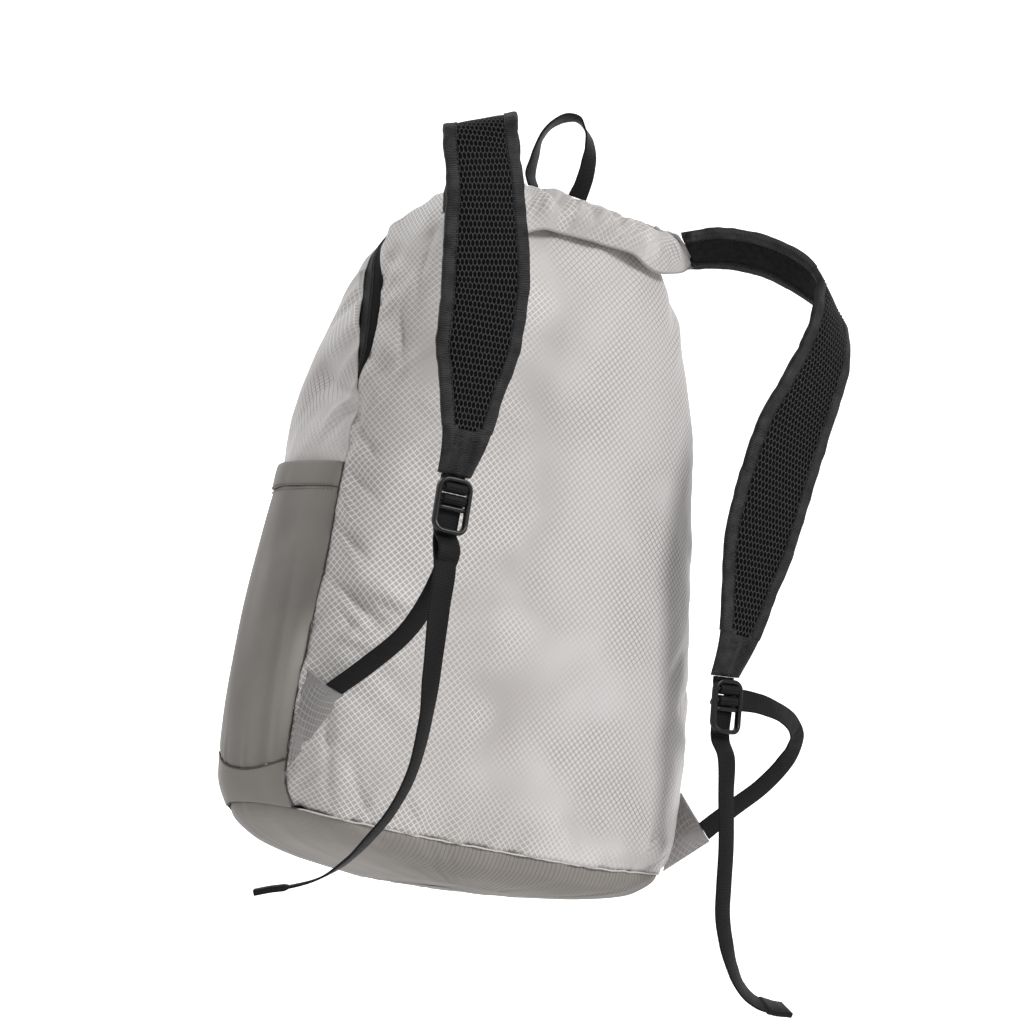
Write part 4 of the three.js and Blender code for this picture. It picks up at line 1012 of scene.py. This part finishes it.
def front_panel():
    edge = mix(FRONT_ANGLE, np.pi, SIDE_SHARE)
    side = even_angles(row_height(ROWS, SIDE_PLACE), FRONT_ANGLE, edge, 50)
    middle = even_angles(row_height(ROWS, -1), edge, 2 * np.pi - edge, 96)
    angles = np.concatenate([side, middle[:, 1:-1], (2 * np.pi - side)[:, ::-1]], 1)
    plain = shell_grid(angles, 0.0)
    weave = arc_weave(plain)
    u, v = weave[..., 0], weave[..., 1]
    near = np.minimum(*edge_distance(plain))
    h = plain[..., 2]
    columns = angles.shape[1]
    inset = np.minimum(np.arange(columns), columns - 1 - np.arange(columns))
    free = 1 - step(53, 47, inset)[None] * step(POCKET_TOP + 14, POCKET_TOP - 6, h)
    masks = {"seam": np.exp(-near / 34) * step(230, 270, h) * step(425, 380, h),
             "low": step(80, 30, h), "all": 1}
    out = creased(u, v, masks, FRONT_CREASES) - 1.2 * bell(near / SEAM_PINCH)
    out += 0.25 * noise(u / 7, v / 9, 71)
    out *= free * np.clip(near / 3, 0.25, 1)
    out -= free * fold_depth(h, turned(angles), FINE_FOLDS)
    # Weave mask for painted light in patches: pale threads as painted highlight, darker ground
    # as painted shade.
    weave[..., 2] = np.clip(0.35 + 0.35 * creases(u, v, 40, 70, 30, 73), 0, 1)
    piece = sheet("front_panel_cloth", shell_grid(angles, out), CLOTH_WALL, weave,
                  slot="ripstop", material=RIPSTOP)
    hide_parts("front_panel")


def base_panel():
    start = np.array([-np.pi])
    angles = even_angles(np.array([30.0]), start, start + 2 * np.pi, BASE_CELLS)[0][:-1]
    place = place_of(angles)
    rim = base_seam(place) - GAP
    t = np.linspace(0, 1, 30)[:, None]
    height = rim * (1 - t) ** 1.7 + 0.03
    plain = cloth_point(height, angles, 0.0)
    u, v = run(plain[0])[None], run(plain[:, 0])[:, None]
    out = 0.5 - bell(v / 2.5) + 0.9 * creases(u, v, 82, 22, 9, 83) * np.exp(-v / 30)
    points = cloth_point(height, angles, out)
    last = points[-1:]
    floor_rings = [last * [share, share, 1] - [0, 0, 0.2] for share in (0.75, 0.5, 0.25, 0.08)]
    points = np.concatenate([points] + floor_rings)
    v = np.concatenate([v, v[-1] + [[10], [20], [30], [40]]])
    # Where the ribs show, with their grooves painted darker as shade: faint where x is below
    # -120 mm, full above -60 mm.
    ribbed = step(-120, -60, points[0][:, 0]) * 0.85 + 0.1
    weave = np.stack(np.broadcast_arrays(points[..., 0], v, ribbed), -1)
    faces = [q[::-1] for q in grid_faces(len(points), BASE_CELLS, wrap=True)]
    faces.append([(len(points) - 1) * BASE_CELLS + i for i in range(BASE_CELLS)])
    piece = put("base_panel_cloth", points.reshape(-1, 3), faces, weave.reshape(-1, 3),
                slot="base_cloth", material=BASE)
    wall(piece, CLOTH_WALL)
    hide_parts("base_panel")
    back = place < LOW_SEAM
    # base_seam is a dark cord laid as a painted shadow along the rest of the base seam; the
    # piping is a real white edge.
    for name, which, radius, look in (("base_piping", back, 0.55, PIPING),
                                      ("base_seam", ~back, 0.4, SEAM_SHADOW)):
        along = np.arange(which.sum()) * 2.6
        lift = 0.25 + 0.25 * noise(along / 9, 0, 91)
        line = cloth_point(rim[which] + 0.2, angles[which], lift)
        line[:, 2] += 0.3 * noise(along / 6, 3, 93)
        if name == "base_seam":
            jump = int(np.argmax(np.diff(run(line))))
            line = np.roll(line, -jump - 1, 0)
        tube(name, line, radius + 0.1 * noise(along / 4, 5, 95), slot="ripstop", material=look)


def pocket_stand(share, row):
    across = np.sin(np.pi * np.clip(share, 0, 1)) ** 0.7
    up = np.clip((row - LOWER_ROWS) / (POCKET_TOP_ROW - LOWER_ROWS), 0, 1)
    drawn_in = 1 - 0.75 * step(LOWER_ROWS + 1, POCKET_TOP_ROW, row)
    return GAP + POCKET_BULGE * across * (0.12 + 0.88 * ease(up)) * drawn_in


def side_lines(row, cells):
    """Angles, heights and shares across a side, from its seam to the pocket's front edge."""
    front = seam_angles(row)[1]
    edge = mix(front, np.pi, SIDE_SHARE)
    angles = even_angles(row_height(row, SIDE_PLACE), front, edge, cells)
    return angles, row_height(row[:, None], place_of(angles)), np.linspace(0, 1, cells + 1)[None]


def side_band(name, side, rows, cells, lift, thickness, folds, **look):
    """A band of cloth over a side, between two of the shell's rows."""
    row = np.linspace(*rows)
    angles, height, share = side_lines(row, cells)
    row = row[:, None]
    out = pocket_stand(share, row) + lift
    weave = arc_weave(cloth_point(height, side * angles, out))
    out = out + folds(share, row, weave[..., 0], weave[..., 1])
    points = cloth_point(height, side * angles, out)
    up = (row - LOWER_ROWS) / POCKET_ROWS
    # Painted highlight: a pale streak beside the side seam over the lower half of the pocket.
    painted_highlight = bell((share - 0.03) / 0.075) * step(0.60, 0.40, up)
    weave[..., 2] = painted_highlight * step(-0.05, 0.30, up) * (rows[0] > LOWER_ROWS)
    if side < 0:
        points, weave = points[:, ::-1], weave[:, ::-1]
    return sheet(name, points, thickness, weave, **look)


def flat_edges(share, row, u, v):
    return -0.5 * bell(np.minimum(share, 1 - share) / 0.03)


def pocket_folds(share, row, u, v):
    up = (row - LOWER_ROWS) / (POCKET_TOP_ROW - LOWER_ROWS)
    fold = -1.6 * bell((share - 0.20 - 0.10 * up) / 0.05) * step(0.75, 0.35, up)
    ridge = 1.3 * bell((share - 0.09 - 0.05 * up) / 0.045) * step(0.7, 0.3, up)
    tall = 0.8 * creases(u, v, 83, 110, 17, 101) * step(0.02, 0.2, up)
    tall = tall * (1 - 0.6 * bell(share / 0.16))
    edge = -1.0 * bell(np.minimum(share, 1 - share) / 0.025)
    foot = 0.5 * np.exp(-up / 0.06) * noise(u / 4, 0, 103) - 0.8 * bell(up / 0.015)
    return fold + ridge + tall + edge + foot


def hem_folds(share, row, u, v):
    edge = -1.0 * bell(np.minimum(share, 1 - share) / 0.03)
    pillow = 0.5 * np.sin(np.pi * np.clip(row - HEM_ROW, 0, 1)) ** 0.5 - 0.5
    return edge + pillow + 0.35 * creases(u, v, 80, 20, 8, 107)


def pockets():
    for side, name in SIDES:
        band = side_band(f"lower_side_cloth_{name}", side, LOWER_BAND, 60, 1.1, POCKET_WALL,
                         flat_edges, slot="base_cloth", material=BASE)
        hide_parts(f"lower_side_{name}")
        piece = side_band(f"side_pocket_cloth_{name}", side, POCKET_BAND, 64, 1.1, POCKET_WALL,
                          pocket_folds, slot="pocket_cloth", material=POCKET)
        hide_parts(f"side_pocket_{name}")
        hem = side_band(f"pocket_hem_cloth_{name}", side, HEM_BAND, 64, 2.5, HEM_WALL,
                        hem_folds, slot="pocket_cloth", material=POCKET)
        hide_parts(f"pocket_hem_{name}")
        lines = []
        for row, lift in ((HEM_ROW - 0.07, 1.35), (HEM_ROW + 0.06, 2.3)):
            angles, height, share = side_lines(np.array([row]), 60)
            line = cloth_point(height, side * angles, pocket_stand(share, row) + lift)[0]
            lines.append((line[1:-1], bag_normal(height, side * angles)[0, 1:-1]))
        stitches(f"pocket_stitch_{name}", lines, 2.2, 3.2, 0.6,
                 slot="pocket_cloth", material=GREY_THREAD)
        angles, height, share = side_lines(np.array([float(LOWER_ROWS)]), 60)
        smile = cloth_point(height, side * angles, pocket_stand(share, LOWER_ROWS) + 1.0)[0]
        # Dark cord along the pocket's lower seam: a painted shadow.
        tube(f"pocket_seam_{name}", smile, 0.42, slot="base_cloth", material=SEAM_SHADOW)


def side_seams():
    for side, name in SIDES:
        row = np.linspace(0, POCKET_TOP_ROW, 200)
        place = seam_angles(row)[2]
        along = np.arange(len(row)) * 1.1
        shift = 0.004 * noise(along / 5, 0, 111) + 0.002 * noise(along / 2, 0, 113)
        line = cloth_point(row_height(row, place), side * angle_of(place + shift),
                           0.1 + 0.5 * noise(along / 4, 2, 115))
        # Dark cord along the side seam: a painted shadow.
        tube(f"side_seam_{name}", line, 0.5 + 0.15 * noise(along / 3, 4, 117),
             slot="ripstop", material=SEAM_SHADOW)


def zipper():
    parts = []
    for side in (-1, 1):
        row = ZIP_ROW + TOP_ROWS * np.linspace(0.012, 0.998, 170)
        back, front, place = seam_angles(row)
        a, b = (cloth_point(row_height(row, place_of(edge)), side * edge, 0.0)
                for edge in (back, front))
        face = bag_normal(row_height(row, place), side * angle_of(place))
        frames = [(a + b) / 2, unit(b - a), face, np.linalg.norm(b - a, axis=1)[:, None] / 2]
        parts.append([f if side < 0 else f[::-1] for f in frames])
    frames = [np.concatenate(halves) for halves in zip(*parts)]
    at = run(frames[0])
    fine = np.arange(0, at[-1], 0.6)
    point, wide, face, half = (sample(values, at, fine) for values in frames)
    wide, face = unit(wide), unit(face)
    reach = half[:, 0] + 0.6
    coil = np.minimum(2.2, reach * 0.6)
    tooth = 0.35 * np.abs(np.sin(np.pi * fine / 1.2))
    flat = 0 * fine
    w = np.stack([-reach, reach, reach, coil * 1.2, coil, coil * 0.35, coil * 0.05,
                  -coil * 0.35, -coil, -coil * 1.2, -reach], 1)
    rise = np.stack([flat - 1.1, flat - 1.1, flat - 0.3, flat, 0.35 + tooth, 0.7 + tooth,
                     0.35 + flat, 1.05 - tooth, 0.7 - tooth, flat, flat - 0.3], 1) - ZIP_SINK
    rings = point[:, None] + wide[:, None] * w[..., None] + face[:, None] * rise[..., None]
    weave = np.stack([w, np.broadcast_to(fine[:, None], w.shape), 0 * w], -1)
    points, faces, weave = swept([rings], [weave])
    piece = put("zip_tape_and_coil", points, faces, weave, slot="zip_tape", material=ZIP_TAPE)
    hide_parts("zipper_tape")
    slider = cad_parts["zipper_slider"]
    slider.data.materials.clear()
    slider.data.materials.append(PLASTIC)


# Yoke, tabs and loop


def yoke_lines(along):
    side = np.where(along < 0, -1.0, 1.0)
    lines = []
    tables = (YOKE_LOWER, YOKE_LOW_FOLD, YOKE_HIGH_FOLD, YOKE_RIDGE)
    for table, end in zip(tables, LEFT_WING_END):
        other = table[:-1] + [[1, *end]]
        x, y, z = np.where(along < 0, track(other, -along), track(table, along))
        lines.append(np.stack([side * x * BAG_WIDTH / 2, y * BAG_DEPTH / 2, z * BAG_HEIGHT], -1))
    return lines


def yoke_grid(along, up):
    lines = np.stack(yoke_lines(along))
    return np.stack([catmull(lines[:, k], up * 3) for k in range(len(along))], 1)


def grid_normals(points):
    return unit(np.cross(np.gradient(points, axis=1), np.gradient(points, axis=0)))


def yoke():
    along, up = np.linspace(-1, 1, 261), np.linspace(0, 1.0, 64)
    plain = yoke_grid(along, up)
    weave = arc_weave(plain)
    u, v = weave[..., 0], weave[..., 1]
    face = grid_normals(plain)
    s, t = np.abs(along)[None], up[:, None]
    middle = step(0.95, 0.45, s)
    wing = step(0.5, 0.95, s)
    share = (along[None] + 1) / 2
    wave = np.sin(2 * np.pi * 9 * share + 1.3 * np.sin(5 * share) + 2 * t)
    out = 0.9 + 1.5 * wave * np.sin(np.pi * share) ** 0.5 * np.sin(2.6 * t)
    gather = 1.9 * creases(u, v, 82, 40, 7, 131) + creases(u, v, 60, 16, 3.6, 133)
    out = out + middle * gather
    out = out * (0.35 + 0.65 * step(0, 0.25, t))
    out = out + wing * (1.6 * creases(u, v, 35, 60, 12, 137) - 0.6) * step(1.0, 0.9, s)
    out = out + 1.8 * bell(t / 0.16) * step(0.1, 0.3, s) * step(0.95, 0.7, s)
    ridge = step(0.8, 1.0, t) * middle
    points = plain + face * out[..., None]
    points[..., 2] += ridge * (1.2 * noise(u / 3.1, 0, 139) + 0.8 * noise(u / 1.4, 1, 141))
    # Weave mask for painted light: pale threads as painted highlight and darker ground as
    # painted shade, in patches and less on the wings.
    pale = 0.55 + 0.5 * creases(u, v, 70, 40, 16, 143) - 0.35 * wing
    weave[..., 2] = np.clip(pale, 0, 1)
    piece = sheet("yoke_cloth", points, CLOTH_WALL, weave, slot="ripstop", material=RIPSTOP)
    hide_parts("yoke")
    hem = points[1] + face[1] * 0.3
    tube("yoke_hem", hem, 0.5, slot="ripstop", material=SEAM_EDGE)
    for side, name in ((0, "left"), (-1, "right")):
        edge = points[:, side] + face[:, side] * 0.2
        tube(f"wing_seam_{name}", edge, 0.8, slot="ripstop", material=SEAM_EDGE)


def hang_loop():
    points, wides = stations(LOOP)
    route = Route(points, wides, 1.5)
    piece = ribbon("hang_loop_webbing", route, WEBBING_WIDTH, WEBBING_THICKNESS,
                   slot="webbing", material=WEBBING)
    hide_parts("hang_loop")


def corner_tab(side, name, roots, first, second, wide):
    towards = unit(second - first)
    wide = unit(wide - towards * (wide @ towards))
    share = np.array(roots)
    place = track(SEAM, share)[0]
    high, low = cloth_point(share * BAG_HEIGHT, side * angle_of(place - 0.04),
                            TAB_THICKNESS + GAP)
    reach = WEBBING_WIDTH / 2 + 1
    edge = first - towards * (GAP + 0.3)
    ends = [edge - wide * side * reach, edge + wide * side * reach]
    if ends[0][2] < ends[1][2]:
        ends.reverse()
    face = unit(np.cross(ends[0] - low, ends[1] - high))
    i, j = np.linspace(0, 1, 34)[None, :, None], np.linspace(0, 1, 30)[:, None, None]
    points = mix(mix(high, ends[0], i), mix(low, ends[1], i), j)
    weave = arc_weave(points)
    u, v = weave[..., 0], weave[..., 1]
    bow = 0.8 * np.sin(np.pi * i[..., 0]) * np.sin(np.pi * j[..., 0])
    rumple = 0.5 * creases(u, v, 60, 20, 7, 151) + 0.3 * noise(u / 4, v / 4, 153)
    rumple = rumple * np.sin(np.pi * np.clip(j[..., 0], 0, 1)) ** 0.5
    points = points + face * (-side * bow + rumple + 0.8)[..., None]
    # Weave mask for painted light in patches: pale threads as painted highlight, darker ground
    # as painted shade.
    weave[..., 2] = 0.55 + 0.3 * noise(u / 9, v / 9, 155)
    if side < 0:
        points, weave = points[:, ::-1], weave[:, ::-1]
    piece = sheet(f"corner_tab_cloth_{name}", points, TAB_WALL, weave,
                  slot="ripstop", material=RIPSTOP_SHADED_TAB)
    piece.modifiers["wall"].offset = 0
    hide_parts(f"corner_tab_{name}")
    for k, (row, edge_look) in enumerate(((points[0], SEAM_EDGE), (points[-1], PIPING))):
        tube(f"corner_tab_edge_{name}_{k}", row, 0.6, slot="ripstop", material=edge_look)


# Locks, webbing and straps

BAR_TURN = BAR_DIAMETER / 2 + BAR_CLEARANCE + WEBBING_THICKNESS / 2
WRAP = BAR_TURN + WEBBING_THICKNESS / 2
TAB_BAR = LOCK_LENGTH / 2 - LOCK_RIM - WRAP - BAR_CLEARANCE
GRIP_BAR = TAB_BAR - 2 * WRAP - SLOT_PLAY
PLAIN_BAR = GRIP_BAR - WRAP - BAR_CLEARANCE - BAR_DIAMETER / 2


class Lock:
    """Place of a lock: x across, y up towards the strap, z to the front."""

    def __init__(self, row):
        points, wides = stations([row])
        self.point, self.wide = points[0], wides[0]
        up = np.array([0, 0, 1.0])
        self.up = unit(up - self.wide * (self.wide @ up))
        self.face = np.cross(self.wide, self.up)

    def at(self, local):
        x, y, z = np.moveaxis(np.asarray(local, float), -1, 0)
        return (self.point + x[..., None] * self.wide + y[..., None] * self.up
                + z[..., None] * self.face)


def lock_piece(lock, name):
    half, high = (LOCK_WIDTH - LOCK_RIM) / 2, (LOCK_LENGTH - LOCK_RIM) / 2
    corner = LOCK_CORNER - LOCK_RIM / 2
    profile = rounded(LOCK_RIM, LOCK_THICKNESS, 1.1, 5)
    lip_start = PLAIN_BAR - 6
    rings = []
    for sx, sy, start in ((1, 1, 0), (-1, 1, 90), (-1, -1, 180), (1, -1, 270)):
        for t in np.radians(start + np.linspace(0, 90, 9)):
            y = sy * (high - corner) + corner * math.sin(t)
            down = np.clip((lip_start - y) / (LOCK_LENGTH / 2 + lip_start), 0, 1)
            rings.append(np.stack([
                sx * (half - corner) + (corner + profile[:, 0]) * math.cos(t),
                y + profile[:, 0] * math.sin(t),
                profile[:, 1] + LOCK_LIP * down**2], -1))
    rings = np.array(rings)
    sets = [rings.reshape(-1, 3)]
    faces = outward(sets[0], grid_faces(*rings.shape[:2], wrap=True, closed=True))
    turn = np.linspace(0, 2 * np.pi, 16, endpoint=False)
    reach = LOCK_WIDTH / 2 - LOCK_RIM + 0.8
    across = np.linspace(-reach, reach, 7)[:, None]
    radius = BAR_DIAMETER / 2
    for height in (TAB_BAR, GRIP_BAR, PLAIN_BAR):
        bar = np.stack(np.broadcast_arrays(
            across, height + radius * np.cos(turn), radius * np.sin(turn)), -1)
        start = sum(len(points) for points in sets)
        points, more = swept([bar], [bar])[:2]
        faces += [[k + start for k in face] for face in more]
        sets.append(points)
    local = np.concatenate(sets)
    piece = put(f"ladder_lock_{name}_moulding", lock.at(local), faces, local,
                slot="black_plastic", material=PLASTIC)
    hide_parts(f"ladder_lock_{name}")


def strap_tab(lock, name):
    fore = -LOCK_THICKNESS / 2 - WEBBING_THICKNESS - BAR_CLEARANCE
    aft = fore - WEBBING_THICKNESS - GAP
    rim, top = LOCK_LENGTH / 2 - LOCK_RIM, LOCK_LENGTH / 2 + TIP_RISE
    path = [
        [top, aft], [rim + 0.6, aft], [TAB_BAR + 1.4, aft + 0.8], [TAB_BAR - 0.9, -BAR_TURN],
        [TAB_BAR - 0.78 * BAR_TURN, -0.72 * BAR_TURN], [TAB_BAR - 1.02 * BAR_TURN, 0],
        [TAB_BAR - 0.72 * BAR_TURN, 0.72 * BAR_TURN], [TAB_BAR, 1.03 * BAR_TURN],
        [TAB_BAR + 0.72 * BAR_TURN, 0.72 * BAR_TURN], [TAB_BAR + 1.01 * BAR_TURN, 0],
        [TAB_BAR + 1.01 * BAR_TURN, fore + 2], [rim - 0.4, fore + 0.2], [rim + 1.6, fore],
        [top, fore],
    ]
    points = lock.at([[0, y, z] for y, z in path])
    route = Route(points, [lock.wide] * len(points), 0.6)
    piece = ribbon(f"strap_tab_{name}_webbing", route, WEBBING_WIDTH, WEBBING_THICKNESS,
                   slot="webbing", material=WEBBING)
    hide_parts(f"strap_tab_{name}")


def adjuster(lock, name, standing, lead, tail):
    turns = [
        [GRIP_BAR + 0.92 * BAR_TURN, -0.75 * BAR_TURN], [GRIP_BAR + 1.02 * BAR_TURN, 0],
        [GRIP_BAR + 0.72 * BAR_TURN, 0.72 * BAR_TURN], [GRIP_BAR, 1.04 * BAR_TURN],
        [GRIP_BAR - 0.72 * BAR_TURN, 0.72 * BAR_TURN], [GRIP_BAR - 1.02 * BAR_TURN, 0],
    ]
    behind = -LOCK_THICKNESS / 2 - BAR_CLEARANCE - WEBBING_THICKNESS / 2
    second = behind - WEBBING_THICKNESS - SLOT_PLAY
    turns += [
        [GRIP_BAR - 1.16 * BAR_TURN, behind + 0.8], [PLAIN_BAR + 0.8, behind - 0.1],
        [PLAIN_BAR - 1.5, behind - 0.1], [-LOCK_LENGTH / 2 - 3, behind - 0.2],
    ]
    points, wides = stations(standing)
    for x, y, z, turn in lead:
        points = np.concatenate([points, [lock.at([x, y, second + z])]])
        t = math.radians(turn)
        wides = np.concatenate([wides, [lock.wide * math.cos(t) + lock.up * math.sin(t)]])
    more, more_wide = stations(tail)
    points = np.concatenate([points, lock.at([[0, y, z] for y, z in turns]), more])
    wides = np.concatenate([wides, [lock.wide] * len(turns), more_wide])
    route = Route(points, wides, 1.6)
    in_hem = step(HEM_TIP_LENGTH, HEM_TIP_LENGTH - 1, route.total - route.at)
    thick = mix(WEBBING_THICKNESS, HEM_TIP_THICKNESS, in_hem)
    piece = ribbon(f"adjuster_{name}_webbing", route, WEBBING_WIDTH, thick,
                   slot="webbing", material=WEBBING)
    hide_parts(f"adjuster_webbing_{name}")
    return points[0], points[1], wides[0]


def strap_half(share):
    swell, taper = track(STRAP_PROFILE, share)
    full = STRAP_ROOT_WIDTH + (STRAP_FULL_WIDTH - STRAP_ROOT_WIDTH) * swell
    return mix(full, STRAP_TIP_WIDTH, taper) / 2


def strap_route(side, rows, lock):
    points, wides = stations(rows)
    lines = yoke_lines(np.array([-1.0 if side < 0 else 1.0]))
    lower, ridge = lines[0][0], lines[3][0]
    wide = unit(ridge - lower if side < 0 else lower - ridge)
    root = (ridge + lower) / 2
    forward = points[0] - root
    forward = unit(forward - wide * (forward @ wide))
    root = root + forward * (GAP + SEAM_ROOM)
    held = -LOCK_THICKNESS / 2 - WEBBING_THICKNESS - BAR_CLEARANCE
    tip = lock.at([0, LOCK_LENGTH / 2 + TIP_RISE + GAP, held])
    points = np.concatenate([[root], points, [tip]])
    wides = np.concatenate([[wide], wides, [lock.wide]])
    route = Route(points, wides, 2.2)
    for k, (ahead, across, face) in ((0, (forward, wide, np.cross(forward, wide))),
                                     (-1, (-lock.up, lock.wide, lock.face))):
        route.forward[k], route.wide[k], route.face[k] = ahead, across, face
    return route


def strap_pad(name, bare, half):
    reach = half - BINDING_WIDTH + 1.2
    t = np.linspace(-1, 1, 17)
    top = 0.5 * STRAP_PAD_THICKNESS - 0.2 + 0.9 * (1 - t**4)
    bottom = -0.5 * STRAP_PAD_THICKNESS + 0.3 - 0.4 * (1 - t**4)
    w = np.concatenate([t, t[::-1]])[None] * reach[:, None]
    soft = 0.25 * noise(bare.at[:, None] / 14, w / 9, 171)
    f = np.concatenate([top, bottom[::-1]])[None] + soft
    v = np.broadcast_to(bare.at[:, None], w.shape)
    upper = np.broadcast_to(np.concatenate([np.ones(17), np.zeros(17)])[None], w.shape)
    points, faces, weave = swept([bare.rings(w, f)], [np.stack([w, v, upper], -1)])
    pad = put(f"strap_pad_{name}_mesh", points, faces, weave, slot="strap_mesh", material=MESH)
    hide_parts(f"strap_pad_{name}")


def strap_binding(name, bare, patch, half):
    """Tape along both edges and a pleated patch over the narrow end."""
    rings, weaves = [], []
    n = len(bare.at)
    base = rounded(1.0, 1.0, 0.28, 5)
    for s in (-1, 1):
        pucker = 1 + 0.07 * noise(bare.at / 2.6, s, 173) + 0.05 * noise(bare.at / 6, s, 175)
        centre = s * (half[:n] - BINDING_WIDTH / 2) + 0.35 * noise(bare.at / 5, s + 3, 177)
        w = centre[:, None] + base[None, :, 0] * BINDING_WIDTH
        f = base[None, :, 1] * (BINDING_THICKNESS * pucker)[:, None]
        v = np.broadcast_to(bare.at[:, None], w.shape)
        rings.append(bare.rings(w, f))
        weaves.append(np.stack([w, v, 0 * w], -1))
    t = np.linspace(-0.5, 0.5, 33)
    level = 0.51 * (1 - np.abs(2 * t) ** 10) ** 0.5 * BINDING_THICKNESS
    pleat = 0.9 * np.cos(6 * np.pi * t) * (1 - (2 * t) ** 4) - 0.3
    grow = step(1, 7, patch.at - patch.at[0])[:, None]
    w = np.concatenate([t, t[-2:0:-1]])[None] * (2 * half[n - 2:, None] + 0.2)
    f = np.concatenate([-level, level[-2:0:-1]])[None]
    f = f + grow * np.concatenate([-0.5 * pleat, pleat[-2:0:-1]])[None]
    v = np.broadcast_to(patch.at[:, None], w.shape)
    rings.append(patch.rings(w, f))
    weaves.append(np.stack([w, v, 0 * w], -1))
    points, faces, weave = swept(rings, weaves)
    edge = put(f"strap_binding_{name}_tape", points, faces, weave,
               slot="binding", material=BINDING)
    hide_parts(f"strap_binding_{name}")


def strap_stitches(name, route, bare, half):
    lines = []
    n = len(bare.at)
    for s in (-1, 1):
        for level in (-1, 1):
            w = s * (half[:n, None] - BINDING_WIDTH + 1.3)
            line = bare.rings(w, np.full((n, 1), level * BINDING_THICKNESS * 0.49))[:, 0]
            lines.append((line, bare.face * level))
    for back in (2.5, 6.0):
        k = int(np.searchsorted(route.at, route.total - TIP_PATCH_LENGTH + back))
        w = np.linspace(-half[k] + 6, half[k] - 6, 12)
        line = (route.point[k] + route.wide[k] * w[:, None]
                + route.face[k] * BINDING_THICKNESS * 0.55)
        lines.append((line, np.broadcast_to(route.face[k], line.shape)))
    stitches(f"strap_stitch_{name}", lines, 2.3, 3.1, 0.6, slot="binding", material=BLACK_THREAD)


def strap(side, name, rows, lock):
    route = strap_route(side, rows, lock)
    half = strap_half(route.at / route.total)
    n = int((route.at < route.total - TIP_PATCH_LENGTH).sum())
    bare = route.cut(0, n)
    strap_pad(name, bare, half[:n])
    strap_binding(name, bare, route.cut(n - 2, len(route.at)), half)
    strap_stitches(name, route, bare, half)


# Build

back_panel()
front_panel()
base_panel()
pockets()
side_seams()
zipper()
yoke()
hang_loop()
for side, name, rows, place, standing, lead, tail, roots in (
    (-1, "left", STRAP_LEFT, LOCK_LEFT, STANDING_LEFT,
     [(0, 3 - LOCK_LENGTH / 2, 0, 0), (0, PLAIN_BAR - 2, 0, 0), (0, GRIP_BAR - 1, -0.1, 0)],
     TAIL_LEFT, TAB_ROOT_LEFT),
    (1, "right", STRAP_RIGHT, LOCK_RIGHT, STANDING_RIGHT,
     [(8, GRIP_BAR + 1, -4.5, 42), (2, GRIP_BAR + 1.2, -2.6, 14)],
     TAIL_RIGHT, TAB_ROOT_RIGHT),
):
    lock = Lock(place)
    lock_piece(lock, name)
    strap_tab(lock, name)
    first, second, wide = adjuster(lock, name, standing, lead, tail)
    corner_tab(side, name, roots, first, second, wide)
    strap(side, name, rows, lock)


# Camera, lights and stage

# The camera of the photograph: its level, rising and forward directions and its aim, in metres.
RIGHT = Vector((0.79117, -0.59579, 0.13814))
UP = Vector((-0.18353, -0.01583, 0.98289))
AHEAD = Vector((0.58340, 0.80299, 0.12187))
TARGET = Vector(([14, -9, 238] - HANG) / 1000)
CAMERA_DISTANCE = 3.0
LENS = 168
SENSOR_WIDTH = 36
WALL_DISTANCE = 6
WALL_REACH = 7
FLOOR_LEVEL = -1.3
FLOOR_REACH = 8

camera = stand("camera", bpy.data.cameras.new("camera"))
camera.data.lens = LENS
camera.data.sensor_width = SENSOR_WIDTH
camera.data.clip_end = 60
camera.matrix_world = Matrix.Translation(TARGET - AHEAD * CAMERA_DISTANCE) @ Matrix(
    (RIGHT, UP, -AHEAD)).transposed().to_4x4()
bpy.context.scene.camera = camera


def area_light(name, place, size, power_w):
    data = bpy.data.lights.new(name, "AREA")
    data.shape = "DISK"
    data.size = size
    data.energy = power_w
    light = stand(name, data)
    light.location = place
    light.rotation_euler = (TARGET - Vector(place)).to_track_quat("-Z", "Y").to_euler()


area_light("key", (0.7, -2.7, 1.5), 1.1, 52)
area_light("fill", (-2.4, -1.4, 0.2), 1.8, 6)
area_light("rim", (-1.2, 2.2, 1.8), 1.6, 20)

world = bpy.data.worlds.new("studio")
world.use_nodes = True
world.node_tree.nodes["Background"].inputs["Color"].default_value = (1, 1, 1, 1)
world.node_tree.nodes["Background"].inputs["Strength"].default_value = 0.34
bpy.context.scene.world = world
bpy.context.scene.view_settings.view_transform = "Standard"
bpy.context.scene.view_settings.exposure = 0.3


def stage_sheet(name, centre, across, along, look):
    mesh = bpy.data.meshes.new(name)
    corners = [centre + across * i + along * j for i, j in ((-1, -1), (1, -1), (1, 1), (-1, 1))]
    mesh.from_pydata(corners, [], [(0, 1, 2, 3)])
    mesh.materials.append(look)
    return stand(name, mesh)


def pale(look):
    return look.finish(
        look.blend(look.noise(0.6, 3), rgb(238, 238, 238), rgb(246, 246, 246)))


floor_look = Look("pale_floor", 0.8, 0.2)
wall_look = Look("lit_backdrop", 0.9, 0.0)
wall_look.feed(wall_look.shader.inputs["Emission Color"],
               wall_look.blend(wall_look.noise(0.5, 2), rgb(254, 254, 254), rgb(255, 255, 255)))
wall_look.shader.inputs["Emission Strength"].default_value = 0.8
level = Vector((RIGHT.x, RIGHT.y, 0)).normalized()
floor = stage_sheet("floor", Vector((0, 0, FLOOR_LEVEL)), Vector((FLOOR_REACH, 0, 0)),
                    Vector((0, FLOOR_REACH, 0)), pale(floor_look))
backdrop = stage_sheet("backdrop", TARGET + AHEAD * WALL_DISTANCE, level * WALL_REACH,
                       Vector((0, 0, WALL_REACH)), pale(wall_look))
